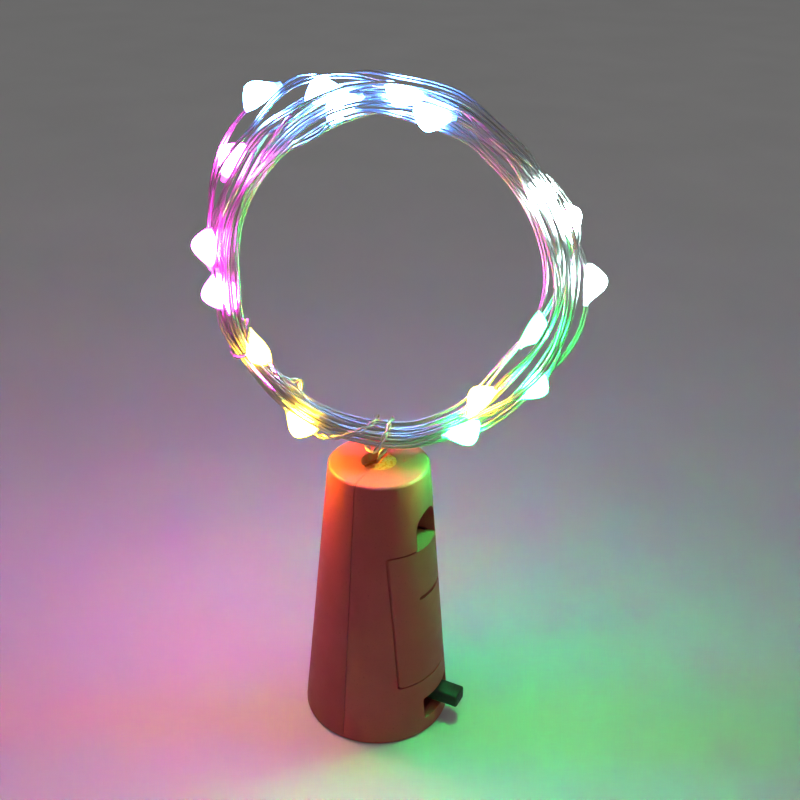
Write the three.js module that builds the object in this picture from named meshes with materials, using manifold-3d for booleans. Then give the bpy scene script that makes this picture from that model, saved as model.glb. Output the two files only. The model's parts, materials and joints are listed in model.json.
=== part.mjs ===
// Bottle light: a cork-shaped battery stopper with its string of small lights wound into a ring on top.
// Millimetres, +Z up. The origin is the middle of the base, +X faces the battery door.
import * as THREE from 'three';
import { mergeVertices } from 'three/addons/utils/BufferGeometryUtils.js';
import Module from 'manifold-3d';

const wasm = await Module();
wasm.setup();

// Fits
const SLIP = 0.25;
const SEAT = 0.1;
const TOUCH_GAP = 0.3;

// Button cells and their contacts
const CELL_COUNT = 3;
const CELL_RADIUS = 5.8;
const CELL_HEIGHT = 5.4;
const CELL_CAP_INSET = 1;
const CELL_CAP_HEIGHT = 0.5;
const CELL_EDGE = 0.4;
const PLATE_THICKNESS = 0.4;
const PLATE_WIDTH = 3;
const PLATE_TAB_DROP = 4;
const PLATE_TAB_RISE = 2.2;
const SPRING_HEIGHT = 3.5;
const SPRING_WIRE = 0.5;
const SPRING_FOOT_RADIUS = 4;
const SPRING_TIP_RADIUS = 2.2;
const SPRING_CURLS = 3.5;
const CURL_STEPS = 8;
const CURL_SIDES = 5;

// Stopper shell, from the base up
const BASE_WALL = 1.6;
const SWITCH_BAY_HEIGHT = 8.8;
const RIB_THICKNESS = 1.6;
const TOP_CHAMBER_HEIGHT = 9.6;
const TOP_WALL = 1.6;
const SHELL_WALL = 1.55;
const TAPER = 0.09;
const RIM_ROUND = 0.5;
const SEAM_GAP = 0.3;
const TONGUE_LENGTH = 3;
const TONGUE_WIDTH = 8;
const CORD_HOLE_RADIUS = 2.7;
const ROUND_STEPS = 48;
const CORNER_STEPS = 4;

// Battery door, its pull-tab slit and the thumb notch above it
const DOOR_WALL = 1.4;
const DOOR_LAP = 0.7;
const DOOR_TOP_WIDTH = 14;
const DOOR_BOTTOM_WIDTH = 15;
const DOOR_CORNER = 0.6;
const SLIT_WIDTH = 6.5;
const SLIT_HEIGHT = 0.6;
const SLIT_BELOW_TOP = 8.4;
const NOTCH_WIDTH = 6;
const NOTCH_HEIGHT = 6.1;
const NOTCH_DEPTH = 3.4;
const NOTCH_WALL = 1.2;
const LEDGE_THICKNESS = 1.4;

// Slide switch on its small circuit board
const SWITCH_RISE = 3;
const KNOB_WIDTH = 3;
const KNOB_HEIGHT = 2.4;
const KNOB_REACH = 3.3;
const KNOB_ROUND = 0.3;
const SLIDE_TRAVEL = 2;
const SLOT_SIDE_MARGIN = 1.6;
const SLOT_EDGE_MARGIN = 0.75;
const SLIDER_LENGTH = 5.2;
const SLIDER_DEPTH = 1.2;
const WIPER_THICKNESS = 0.3;
const WIPER_LENGTH = 3.2;
const WIPER_HEIGHT = 1.4;
const FRAME_SHEET = 0.4;
const SWITCH_BASE_THICKNESS = 1;
const PIN_COUNT = 3;
const PIN_PITCH = 2.5;
const PIN_WIDTH = 0.6;
const PIN_LENGTH = 1.2;
const BOARD_THICKNESS = 1;
const BOARD_WIDTH = 12;
const BOARD_HEIGHT = 7.5;
const RESISTOR_LENGTH = 3.2;
const RESISTOR_WIDTH = 1.6;
const RESISTOR_THICKNESS = 0.6;
const RESISTOR_SIDE = 3.6;
const RESISTOR_RISE = 5.2;

// Inner leads and the glue that holds the string in the top wall
const LEAD_DIAMETER = 0.9;
const GLUE_FLANGE = 1.3;
const GLUE_DEPTH = 2.3;
const GLUE_RECESS = 1;
const LEAD_SIDES = 8;
const LEAD_STEPS = 24;

// Light string
const CORD_DIAMETER = 0.9;
const CORD_SIDES = 8;
const LOOP_SIDES = 6;
const LOOP_STEPS = 24;
const FREE_STEPS = 62;
const TAIL_STEPS = 30;
const LEAST_GAP = 0.4;
const GAP_SAMPLES = 4;
const GAP_APART = 4 * CORD_DIAMETER;
const CORD_EXIT_BACK = 0.9;

// Ring of the wound string: it faces the side 27 degrees off the door's own side, and leans back
const RING_TURN = THREE.MathUtils.degToRad(27.4);
const RING_LEAN = THREE.MathUtils.degToRad(10);
const RING_RADIUS = 24.3;
const RING_OVAL = 1;
const RING_OVAL_ANGLE = THREE.MathUtils.degToRad(135);
const RING_SIDE = 2.6;
const RING_RISE = 4.5;
const RING_LAYERS = 4;
const TURN_PITCH = 1.36;
const COIL_START = THREE.MathUtils.degToRad(210);
const COIL_STEPS = 312;
const CLIMB_TURNS = 0.5;

// Light beads: the middle step of the first one, then the steps round the coil from each to the next
const BEAD_RADIUS = 1.3;
const BEAD_LENGTH = 4.8;
const BEAD_END = 1;
const BEAD_SHOULDER = 0.15;
const BEAD_SIDES = 8;
const STEPS_TO_FIRST_BEAD = 17;
const BEAD_STEPS = [15, 18, 16, 14, 17, 15, 14, 19, 14, 15, 17, 15, 15, 17, 14, 16, 18, 14];
const BEAD_FADE = [1, 0.35];
const BEAD_SPARE = 0.06;

// One bead hangs on a loose stretch of its turn, which stands out from the bundle
const LOOSE_BEAD_NUMBER = 14;
const LOOSE_OUT = 3.9;
const LOOSE_STEPS_BEFORE = 5;
const LOOSE_STEPS_AFTER = 1;

// Free ends of the string: along the ring from the nearer end of the coil, out from the middle line of the
// bundle, and forward of it
const LEAD_POINTS = [
  [-24.7, 2.9, -3.5],
  [-24.8, 1.5, -4.2],
  [-24.8, 0, -4.3],
  [-24.8, -1.8, -4.1],
  [-24.7, -3.3, -3.3],
  [-24.6, -4.2, -1.7],
  [-24.5, -4.3, 0],
  [-24.3, -4.1, 1.7],
  [-24.0, -3.3, 3.2],
  [-23.7, -1.8, 4.0],
  [-23.3, 0, 4.1],
  [-22.9, 1.9, 3.9],
  [-22.4, 3.3, 3.1],
  [-22.0, 3.95, 1.6],
  [-21.6, 4.0, 0],
  [-21.4, 3.9, -1.6],
  [-21.4, 3.3, -3.3],
  [-21.5, 1.9, -4.2],
  [-21.7, 0, -4.4],
  [-21.9, -1.9, -4.3],
  [-22.1, -3.6, -3.4],
  [-22.2, -4.4, -1.7],
  [-22.2, -4.5, 0],
  [-21.9, -4.3, 1.8],
  [-21.2, -3.6, 3.4],
  [-20.1, -2.3, 4.5],
  [-18.9, -0.9, 4.8],
  [-17.7, 0.7, 4.8],
  [-16.5, 2.3, 4.5],
  [-15.4, 3.6, 3.4],
  [-14.5, 4.4, 1.8],
  [-13.7, 4.5, -0.1],
  [-13.0, 4.2, -2.0],
  [-12.2, 3.3, -3.7],
  [-11.3, 1.8, -4.8],
  [-10.4, 0, -5.1],
  [-9.5, -1.8, -4.9],
  [-8.8, -3.5, -4.5],
  [-8.2, -5.0, -3.4],
  [-7.7, -5.5, -1.5],
  [-7.0, -5.1, 0.6],
  [-6.1, -4.4, 2.0],
  [-5.1, -3.8, 3.0],
  [-4.1, -3.6, 3.5],
  [-3.1, -3.5, 3.7],
  [-2.2, -3.4, 3.7],
];
const TAIL_WRAP = [
  [2.0, -3.6, -3.9],
  [2.5, -2.4, -4.9],
  [2.7, -0.4, -5.2],
  [2.6, 1.8, -5.2],
  [2.3, 3.8, -4.5],
  [2.0, 5.0, -2.8],
  [1.7, 5.3, -0.7],
  [1.4, 5.2, 1.6],
  [1.1, 4.6, 3.8],
  [0.9, 2.5, 5.1],
  [0.8, 0, 5.3],
  [0.9, -2.5, 5.2],
  [1.4, -4.5, 4.6],
  [2.6, -5.9, 3.8],
  [4.2, -6.8, 3.0],
  [5.6, -7.3, 1.7],
  [5.6, -7.5, 0.1],
  [4.2, -7.3, -0.7],
];
const TAIL_END = [
  [-2.6, -6.9, -0.6],
  [-3.9, -6.8, -0.5],
  [-5.2, -7.0, 0.2],
  [-6.5, -7.2, 0.6],
  [-7.8, -7.2, 0],
  [-9.1, -6.8, -0.5],
  [-10.4, -6.3, 0.2],
];

// Levels and radii that follow from the sizes above
const bayFloor = BASE_WALL + SWITCH_BAY_HEIGHT + RIB_THICKNESS;
const negativePlateZ = bayFloor + SEAT;
const springZ = negativePlateZ + PLATE_THICKNESS + SEAT;
const cellZ = (index) => springZ + SPRING_HEIGHT + SEAT + index * (CELL_HEIGHT + SEAT);
const positivePlateZ = cellZ(CELL_COUNT);
const bayCeiling = positivePlateZ + PLATE_THICKNESS + SEAT;
const ribTop = bayCeiling + RIB_THICKNESS;
const topWallZ = ribTop + TOP_CHAMBER_HEIGHT;
const bodyHeight = topWallZ + TOP_WALL;
const doorBottom = bayFloor - RIB_THICKNESS;
const doorTop = bayCeiling + DOOR_LAP;
const innerRadius = (z) => CELL_RADIUS + LEAD_DIAMETER + 2 * TOUCH_GAP + TAPER * (bayCeiling - z);
const bodyRadius = (z) => innerRadius(z) + SHELL_WALL;
const leadRadius = LEAD_DIAMETER / 2;
const cordRadius = CORD_DIAMETER / 2;
const wide = 2 * bodyRadius(0);

// Slide switch, from its front face back to its board
const switchZ = BASE_WALL + SWITCH_RISE;
const slotLength = KNOB_WIDTH + SLIDE_TRAVEL + 2 * SLOT_SIDE_MARGIN;
const slotHeight = KNOB_HEIGHT + 2 * SLOT_EDGE_MARGIN;
const frameLength = SLIDER_LENGTH + SLIDE_TRAVEL + 2 * (SLIP + FRAME_SHEET);
const frameHeight = KNOB_HEIGHT + 2 * (SLIP + FRAME_SHEET);
const frameRadius = innerRadius(switchZ + frameHeight / 2);
const frameFront = Math.sqrt(frameRadius ** 2 - (frameLength / 2) ** 2) - TOUCH_GAP;
const sliderFront = frameFront - FRAME_SHEET - SLIP;
const sliderBack = sliderFront - SLIDER_DEPTH;
const wiperBack = sliderBack - SEAT - WIPER_THICKNESS;
const switchBaseFront = wiperBack - SLIP;
const switchBaseBack = switchBaseFront - SWITCH_BASE_THICKNESS;
const boardFront = switchBaseBack - SEAT;
const boardBack = boardFront - BOARD_THICKNESS;
const boardZ = BASE_WALL + TOUCH_GAP;
const sliderRest = SLIDE_TRAVEL / 2;
const knobTip = bodyRadius(switchZ) + KNOB_REACH;

const leadLaneX = -(CELL_RADIUS + TOUCH_GAP + leadRadius);
const glueTop = bodyHeight - GLUE_RECESS;
const glueBottom = topWallZ - SEAT - GLUE_DEPTH;
const ringFoot = bodyHeight + RING_RISE;

// Merges shared points, drops empty triangles and turns every face outward
function closed(geometry) {
  const bare = geometry.clone();
  bare.deleteAttribute('normal');
  bare.deleteAttribute('uv');
  const merged = mergeVertices(bare);
  const points = merged.attributes.position;
  const corner = [new THREE.Vector3(), new THREE.Vector3(), new THREE.Vector3()];
  const kept = [];
  let volume = 0;
  for (let first = 0; first < merged.index.count; first += 3) {
    const triangle = [0, 1, 2].map((offset) => merged.index.getX(first + offset));
    if (new Set(triangle).size < 3) continue;
    corner.forEach((vector, offset) => vector.fromBufferAttribute(points, triangle[offset]));
    volume += corner[0].dot(corner[1].clone().cross(corner[2]));
    kept.push(triangle);
  }
  if (volume < 0) kept.forEach((triangle) => triangle.reverse());
  merged.setIndex(kept.flat());
  return merged;
}

function solid(geometry) {
  const clean = closed(geometry);
  const vertProperties = new Float32Array(clean.attributes.position.array);
  const triVerts = new Uint32Array(clean.index.array);
  return new wasm.Manifold(new wasm.Mesh({ numProp: 3, vertProperties, triVerts }));
}

function geometryOf(body) {
  const { vertProperties, triVerts } = body.getMesh();
  const geometry = new THREE.BufferGeometry();
  geometry.setAttribute('position', new THREE.BufferAttribute(new Float32Array(vertProperties), 3));
  geometry.setIndex(Array.from(triVerts));
  return geometry;
}

// A box by its limits along each axis
function box([x0, x1], [y0, y1], [z0, z1]) {
  const geometry = new THREE.BoxGeometry(x1 - x0, y1 - y0, z1 - z0);
  return geometry.translate((x0 + x1) / 2, (y0 + y1) / 2, (z0 + z1) / 2);
}

const centred = (middle, size) => [middle - size / 2, middle + size / 2];

// A solid of revolution about Z from [radius, height] pairs
function turned(profile, steps = ROUND_STEPS) {
  const points = profile.map(([radius, height]) => new THREE.Vector2(radius, height));
  return new THREE.LatheGeometry(points, steps).rotateX(Math.PI / 2);
}

// An outline in the YZ plane, pulled along X from x0 to x1
function pulledAlongX(shape, [x0, x1]) {
  const geometry = new THREE.ExtrudeGeometry(shape, {
    depth: x1 - x0,
    bevelEnabled: false,
    curveSegments: CORNER_STEPS,
  });
  const turn = new THREE.Matrix4().makeBasis(
    new THREE.Vector3(0, 1, 0),
    new THREE.Vector3(0, 0, 1),
    new THREE.Vector3(1, 0, 0),
  );
  return geometry.applyMatrix4(turn).translate(x0, 0, 0);
}

// A polygon with each corner rounded by the same radius
function roundedOutline(corners, radius) {
  const shape = new THREE.Shape();
  corners.forEach((corner, index) => {
    const before = corners.at(index - 1);
    const after = corners[(index + 1) % corners.length];
    const arrive = corner.clone().add(before.clone().sub(corner).setLength(radius));
    const leave = corner.clone().add(after.clone().sub(corner).setLength(radius));
    if (index === 0) shape.moveTo(arrive.x, arrive.y);
    else shape.lineTo(arrive.x, arrive.y);
    shape.quadraticCurveTo(corner.x, corner.y, leave.x, leave.y);
  });
  shape.closePath();
  return shape;
}

// A regular polygon as the section of a round cord or lead
function roundSection(radius, sides) {
  const shape = new THREE.Shape();
  for (let side = 0; side < sides; side += 1) {
    const angle = (2 * Math.PI * side) / sides;
    const point = [radius * Math.cos(angle), radius * Math.sin(angle)];
    if (side === 0) shape.moveTo(...point);
    else shape.lineTo(...point);
  }
  shape.closePath();
  return shape;
}

function tube(points, radius, sides, steps) {
  const extrudePath = new THREE.CatmullRomCurve3(points, false, 'centripetal');
  return new THREE.ExtrudeGeometry(roundSection(radius, sides), { steps, bevelEnabled: false, extrudePath });
}

// A tube with one ring of points at each given centre, for loops and curls about the axis `up`
function wound(centres, radius, sides, up) {
  const positions = [];
  const index = [];
  centres.forEach((centre, step) => {
    const before = centres[Math.max(step - 1, 0)];
    const after = centres[Math.min(step + 1, centres.length - 1)];
    const along = after.clone().sub(before).normalize();
    const across = up.clone().cross(along).normalize();
    const over = along.clone().cross(across);
    for (let side = 0; side < sides; side += 1) {
      const angle = (2 * Math.PI * side) / sides;
      const offset = across.clone().multiplyScalar(Math.cos(angle)).addScaledVector(over, Math.sin(angle));
      positions.push(...centre.clone().addScaledVector(offset, radius).toArray());
    }
  });
  const ring = (step, side) => step * sides + (side % sides);
  const last = centres.length - 1;
  for (let side = 0; side < sides; side += 1) {
    for (let step = 0; step < last; step += 1) {
      index.push(ring(step, side), ring(step, side + 1), ring(step + 1, side + 1));
      index.push(ring(step, side), ring(step + 1, side + 1), ring(step + 1, side));
    }
  }
  for (let side = 1; side < sides - 1; side += 1) {
    index.push(ring(0, 0), ring(0, side + 1), ring(0, side));
    index.push(ring(last, 0), ring(last, side), ring(last, side + 1));
  }
  const geometry = new THREE.BufferGeometry();
  geometry.setAttribute('position', new THREE.Float32BufferAttribute(positions, 3));
  geometry.setIndex(index);
  return geometry;
}

// The least free space between stretches of a tube that lie further than `apart` from each other along it
function leastSelfGap(centres, diameter, apart) {
  const samples = [];
  const travelled = [];
  let length = 0;
  for (let step = 0; step + 1 < centres.length; step += 1) {
    const stride = centres[step].distanceTo(centres[step + 1]) / GAP_SAMPLES;
    for (let part = 0; part < GAP_SAMPLES; part += 1) {
      samples.push(centres[step].clone().lerp(centres[step + 1], part / GAP_SAMPLES));
      travelled.push(length);
      length += stride;
    }
  }
  let least = Infinity;
  samples.forEach((sample, first) => {
    for (let second = first + 1; second < samples.length; second += 1) {
      if (travelled[second] - travelled[first] < apart) continue;
      least = Math.min(least, sample.distanceTo(samples[second]));
    }
  });
  return least - diameter;
}

// Finishes
function finish(color, roughness, metalness = 0) {
  return new THREE.MeshStandardMaterial({ color, roughness, metalness });
}

const corkPlastic = () => finish(0xa8543a, 0.45);
const cellSteel = () => finish(0xc9cacb, 0.25, 1);
const contactSteel = () => finish(0xb9bcc0, 0.35, 1);
const switchSteel = () => finish(0x9da1a6, 0.4, 1);
const boardGreen = () => finish(0x2f6b3c, 0.55);
const switchBlack = () => finish(0x141314, 0.5);
const phenolic = () => finish(0x6b4a2a, 0.7);
const copper = () => finish(0xc79a6b, 0.35, 1);
const leadJacket = (color) => finish(color, 0.5);
const hotGlue = () => finish(0xe0a24a, 0.3);
const silverWire = () => finish(0xd8d2c8, 0.25, 1);
const beadResin = () => finish(0xf6f4ee, 0.15);

const light = new THREE.Group();
light.name = 'bottle_light';

function place(name, geometry, material, parent = light) {
  const mesh = new THREE.Mesh(closed(geometry), material);
  mesh.name = name;
  parent.add(mesh);
  return mesh;
}

// Stopper shell
function bodyProfile() {
  const profile = [[0, 0]];
  for (let step = 0; step <= CORNER_STEPS; step += 1) {
    const angle = (Math.PI / 2) * (step / CORNER_STEPS);
    const inset = RIM_ROUND * (1 - Math.sin(angle));
    const height = RIM_ROUND * (1 - Math.cos(angle));
    profile.push([bodyRadius(height) - inset, height]);
  }
  for (let step = 0; step <= CORNER_STEPS; step += 1) {
    const angle = (Math.PI / 2) * (step / CORNER_STEPS);
    const inset = RIM_ROUND * (1 - Math.cos(angle));
    const height = bodyHeight - RIM_ROUND * (1 - Math.sin(angle));
    profile.push([bodyRadius(height) - inset, height]);
  }
  profile.push([0, bodyHeight]);
  return profile;
}

const doorOutline = (grow) => {
  const top = DOOR_TOP_WIDTH / 2 + grow;
  const bottom = DOOR_BOTTOM_WIDTH / 2 + grow;
  const corners = [
    new THREE.Vector2(-bottom, doorBottom - grow),
    new THREE.Vector2(bottom, doorBottom - grow),
    new THREE.Vector2(top, doorTop + grow),
    new THREE.Vector2(-top, doorTop + grow),
  ];
  return roundedOutline(corners, DOOR_CORNER);
};

// An arched window that stands on the door's top edge
function archOutline(width, foot, crown) {
  const radius = width / 2;
  const shape = new THREE.Shape();
  shape.moveTo(-radius, foot);
  shape.lineTo(radius, foot);
  shape.lineTo(radius, crown - radius);
  shape.absarc(0, crown - radius, radius, 0, Math.PI, false);
  shape.closePath();
  return shape;
}

const outerBody = solid(turned(bodyProfile()));
const doorReach = [SEAM_GAP, wide];
const notchBack = bodyRadius(doorTop) - NOTCH_DEPTH;
const notchCrown = doorTop + NOTCH_HEIGHT;
const ribReach = notchBack - NOTCH_WALL - TOUCH_GAP;

function shellWall() {
  const cavity = turned([
    [0, BASE_WALL],
    [innerRadius(BASE_WALL), BASE_WALL],
    [innerRadius(topWallZ), topWallZ],
    [0, topWallZ],
  ]);
  const cordHole = turned([
    [0, topWallZ - TOP_WALL],
    [CORD_HOLE_RADIUS, topWallZ - TOP_WALL],
    [CORD_HOLE_RADIUS, bodyHeight + TOP_WALL],
    [0, bodyHeight + TOP_WALL],
  ]);
  return outerBody.subtract(solid(cavity)).subtract(solid(cordHole));
}

const wallOfShell = shellWall();
const baseTongue = (grow) =>
  box([-wide, TONGUE_LENGTH + grow], centred(0, TONGUE_WIDTH + 2 * grow), [-BASE_WALL, BASE_WALL + grow]);

function frontShell() {
  const housing = archOutline(NOTCH_WIDTH + 2 * NOTCH_WALL, doorTop + SLIP, notchCrown + NOTCH_WALL);
  const pocket = archOutline(NOTCH_WIDTH, doorTop - LEDGE_THICKNESS, notchCrown);
  const slot = box([boardFront, wide], centred(0, slotLength), centred(switchZ, slotHeight));
  return wallOfShell
    .add(solid(pulledAlongX(housing, [notchBack - NOTCH_WALL, wide])).intersect(outerBody))
    .subtract(solid(pulledAlongX(pocket, [notchBack, wide])))
    .subtract(solid(pulledAlongX(doorOutline(SLIP), doorReach)))
    .subtract(solid(slot))
    .intersect(solid(box([SEAM_GAP / 2, wide], [-wide, wide], [-wide, bodyHeight + wide])))
    .subtract(solid(baseTongue(SEAM_GAP / 2)));
}

// A shelf across the battery bay: fast to the back half, and clear of the front half
function bayRib(z) {
  const fast = solid(turned([
    [0, z],
    [innerRadius(z) + SLIP, z],
    [innerRadius(z) + SLIP, z + RIB_THICKNESS],
    [0, z + RIB_THICKNESS],
  ]));
  const clearRadius = innerRadius(z + RIB_THICKNESS) - TOUCH_GAP;
  const clear = solid(turned([
    [0, z],
    [clearRadius, z],
    [clearRadius, z + RIB_THICKNESS],
    [0, z + RIB_THICKNESS],
  ]));
  const levels = [z - RIB_THICKNESS, z + 2 * RIB_THICKNESS];
  const back = solid(box([-wide, -SEAM_GAP / 2], [-wide, wide], levels));
  const front = solid(box([-ribReach, ribReach], [-wide, wide], levels));
  const lane = solid(box(
    [leadLaneX - leadRadius - TOUCH_GAP, leadLaneX + leadRadius + TOUCH_GAP],
    centred(0, LEAD_DIAMETER + 2 * TOUCH_GAP),
    levels,
  ));
  return fast.intersect(back).add(clear.intersect(front)).subtract(lane);
}

const tabSide = CELL_RADIUS - PLATE_WIDTH / 2;
const positiveTabX = centred(0, PLATE_WIDTH);
const positiveTabY = [tabSide - PLATE_THICKNESS, tabSide];

function backShell() {
  const tabSlot = box(
    [positiveTabX[0] - SLIP, positiveTabX[1] + SLIP],
    [positiveTabY[0] - SLIP, positiveTabY[1] + SLIP],
    [bayCeiling - RIB_THICKNESS, ribTop + RIB_THICKNESS],
  );
  const half = solid(box([-wide, -SEAM_GAP / 2], [-wide, wide], [-wide, bodyHeight + wide]));
  return wallOfShell
    .intersect(half)
    .add(wallOfShell.intersect(solid(baseTongue(0))))
    .add(bayRib(bayFloor - RIB_THICKNESS))
    .add(bayRib(bayCeiling).subtract(solid(tabSlot)));
}

place('shell_front', geometryOf(frontShell()), corkPlastic());
place('shell_back', geometryOf(backShell()), corkPlastic());

// Battery door: a piece of the same taper, with a ledge that closes the foot of the thumb notch
function batteryDoor() {
  const hollow = turned([
    [0, doorBottom - DOOR_WALL],
    [bodyRadius(doorBottom - DOOR_WALL) - DOOR_WALL, doorBottom - DOOR_WALL],
    [bodyRadius(doorTop + DOOR_WALL) - DOOR_WALL, doorTop + DOOR_WALL],
    [0, doorTop + DOOR_WALL],
  ]);
  const ledge = box(
    [notchBack + SLIP, bodyRadius(doorTop)],
    centred(0, NOTCH_WIDTH - 2 * SLIP),
    [doorTop - LEDGE_THICKNESS, doorTop],
  );
  const slit = box([0, wide], centred(0, SLIT_WIDTH), centred(doorTop - SLIT_BELOW_TOP, SLIT_HEIGHT));
  return outerBody
    .subtract(solid(hollow))
    .add(solid(ledge).intersect(outerBody))
    .intersect(solid(pulledAlongX(doorOutline(0), doorReach)))
    .subtract(solid(slit));
}

place('battery_door', geometryOf(batteryDoor()), corkPlastic());

// Cells, from the spring up, each with its negative cap below
function cellProfile() {
  const cap = CELL_RADIUS - CELL_CAP_INSET;
  return [
    [0, 0],
    [cap, 0],
    [cap, CELL_CAP_HEIGHT],
    [CELL_RADIUS, CELL_CAP_HEIGHT],
    [CELL_RADIUS, CELL_HEIGHT - CELL_EDGE],
    [CELL_RADIUS - CELL_EDGE, CELL_HEIGHT],
    [0, CELL_HEIGHT],
  ];
}

for (let index = 0; index < CELL_COUNT; index += 1) {
  const cell = place(`cell_${index + 1}`, turned(cellProfile(), ROUND_STEPS / 2), cellSteel());
  cell.position.z = cellZ(index);
}

// Contacts: flat strips, each with a tab bent off its end
const negativeTabX = [boardFront + SEAT, boardFront + SEAT + PLATE_THICKNESS];
const negativePlate = solid(box(
  [-SPRING_FOOT_RADIUS - SPRING_WIRE, negativeTabX[1]],
  centred(0, PLATE_WIDTH),
  [negativePlateZ, negativePlateZ + PLATE_THICKNESS],
)).add(solid(box(
  negativeTabX,
  centred(0, PLATE_WIDTH),
  [negativePlateZ - PLATE_TAB_DROP, negativePlateZ + PLATE_THICKNESS],
)));
place('negative_plate', geometryOf(negativePlate), contactSteel());

const positivePlate = solid(box(
  positiveTabX,
  [-tabSide, tabSide],
  [positivePlateZ, positivePlateZ + PLATE_THICKNESS],
)).add(solid(box(
  positiveTabX,
  positiveTabY,
  [positivePlateZ, ribTop + PLATE_TAB_RISE],
)));
place('positive_plate', geometryOf(positivePlate), contactSteel());

function springCentres() {
  const centres = [];
  const steps = Math.round(SPRING_CURLS * CURL_STEPS);
  for (let step = 0; step <= steps; step += 1) {
    const share = step / steps;
    const angle = 2 * Math.PI * SPRING_CURLS * share;
    const radius = THREE.MathUtils.lerp(SPRING_FOOT_RADIUS, SPRING_TIP_RADIUS, share);
    const height = SPRING_WIRE / 2 + (SPRING_HEIGHT - SPRING_WIRE) * share;
    centres.push(new THREE.Vector3(radius * Math.cos(angle), radius * Math.sin(angle), height));
  }
  return centres;
}

const upward = new THREE.Vector3(0, 0, 1);
const spring = place(
  'negative_spring',
  wound(springCentres(), SPRING_WIRE / 2, CURL_SIDES, upward),
  contactSteel(),
);
spring.position.z = springZ;

// Slide switch: a steel frame round a plastic slider, on an insulating base with three pins
const frameLevels = centred(switchZ, frameHeight);
const pinPlace = (index) => (index - (PIN_COUNT - 1) / 2) * PIN_PITCH;
const pinBox = (index, grow) => box(
  [boardBack - PIN_LENGTH - grow, switchBaseBack + grow],
  centred(pinPlace(index), PIN_WIDTH + 2 * grow),
  centred(switchZ, PIN_WIDTH + 2 * grow),
);

let board = solid(box([boardBack, boardFront], centred(0, BOARD_WIDTH), [boardZ, boardZ + BOARD_HEIGHT]));
for (let index = 0; index < PIN_COUNT; index += 1) {
  board = board.subtract(solid(pinBox(index, SEAT)));
  place(`switch_pin_${index + 1}`, pinBox(index, -SEAT / 2), copper());
}
place('circuit_board', geometryOf(board), boardGreen());

place(
  'switch_base',
  box([switchBaseBack, switchBaseFront], centred(0, frameLength), frameLevels),
  phenolic(),
);

const frameCavity = box(
  [switchBaseFront - SLIP, frameFront - FRAME_SHEET],
  centred(0, frameLength - 2 * FRAME_SHEET),
  centred(switchZ, frameHeight - 2 * FRAME_SHEET),
);
const frameWindow = box(
  [sliderFront, frameFront + FRAME_SHEET],
  centred(0, KNOB_WIDTH + SLIDE_TRAVEL + 2 * SLIP),
  centred(switchZ, frameHeight - 2 * FRAME_SHEET),
);
const switchFrame = solid(box([switchBaseFront + SEAT, frameFront], centred(0, frameLength), frameLevels))
  .subtract(solid(frameCavity))
  .subtract(solid(frameWindow));
place('switch_frame', geometryOf(switchFrame), switchSteel());

function knobOutline() {
  const side = KNOB_WIDTH / 2;
  const half = KNOB_HEIGHT / 2;
  const corners = [
    new THREE.Vector2(-side, -half),
    new THREE.Vector2(side, -half),
    new THREE.Vector2(side, half),
    new THREE.Vector2(-side, half),
  ];
  return roundedOutline(corners, KNOB_ROUND);
}

const sliderBody = solid(box(
  [sliderBack, sliderFront],
  centred(0, SLIDER_LENGTH),
  centred(0, KNOB_HEIGHT),
)).add(solid(pulledAlongX(knobOutline(), [sliderBack, knobTip])));
const slider = place('switch_slider', geometryOf(sliderBody), switchBlack());
slider.position.set(0, sliderRest, switchZ);

const wiper = place(
  'switch_wiper',
  box([wiperBack, wiperBack + WIPER_THICKNESS], centred(0, WIPER_LENGTH), centred(0, WIPER_HEIGHT)),
  copper(),
);
wiper.position.set(0, sliderRest, switchZ);

place(
  'resistor',
  box(
    [boardBack - SEAT - RESISTOR_THICKNESS, boardBack - SEAT],
    centred(RESISTOR_SIDE, RESISTOR_LENGTH),
    centred(boardZ + RESISTOR_RISE, RESISTOR_WIDTH),
  ),
  switchBlack(),
);

// Glue that holds the string in its hole, and the two leads below it
const gluePlug = turned([
  [0, glueBottom],
  [CORD_HOLE_RADIUS + GLUE_FLANGE, glueBottom],
  [CORD_HOLE_RADIUS + GLUE_FLANGE, topWallZ - SEAT],
  [CORD_HOLE_RADIUS - SLIP, topWallZ - SEAT],
  [CORD_HOLE_RADIUS - SLIP, glueTop],
  [0, glueTop],
], ROUND_STEPS / 2);
place('glue_plug', gluePlug, hotGlue());

const leadStart = glueBottom - TOUCH_GAP;
const tabTop = ribTop + PLATE_TAB_RISE;
const leadSpread = CORD_HOLE_RADIUS / 2;
const positiveLead = [
  [0, leadSpread, leadStart],
  [0, leadSpread, leadStart - LEAD_DIAMETER],
  [0, tabSide - PLATE_THICKNESS / 2, tabTop + TOUCH_GAP + LEAD_DIAMETER],
  [0, tabSide - PLATE_THICKNESS / 2, tabTop + TOUCH_GAP],
].map((point) => new THREE.Vector3(...point));
place('lead_positive', tube(positiveLead, leadRadius, LEAD_SIDES, LEAD_STEPS / 3), leadJacket(0xb02a24));

const negativeLead = [
  [-leadSpread, 0, leadStart],
  [-leadSpread, 0, leadStart - LEAD_DIAMETER],
  [leadLaneX, 0, ribTop + 2 * LEAD_DIAMETER],
  [leadLaneX, 0, ribTop],
  [leadLaneX, 0, (ribTop + doorBottom) / 2],
  [leadLaneX, 0, doorBottom],
  [leadLaneX, 0, doorBottom - 2 * LEAD_DIAMETER],
  [leadLaneX / 2, -PIN_PITCH / 2, switchZ + PIN_PITCH],
  [boardBack - TOUCH_GAP - 2 * LEAD_DIAMETER, -PIN_PITCH, switchZ + PIN_PITCH],
  [boardBack - TOUCH_GAP, -PIN_PITCH, switchZ + PIN_PITCH],
].map((point) => new THREE.Vector3(...point));
place('lead_negative', tube(negativeLead, leadRadius, LEAD_SIDES, LEAD_STEPS), leadJacket(0x1c1c1e));

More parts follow.
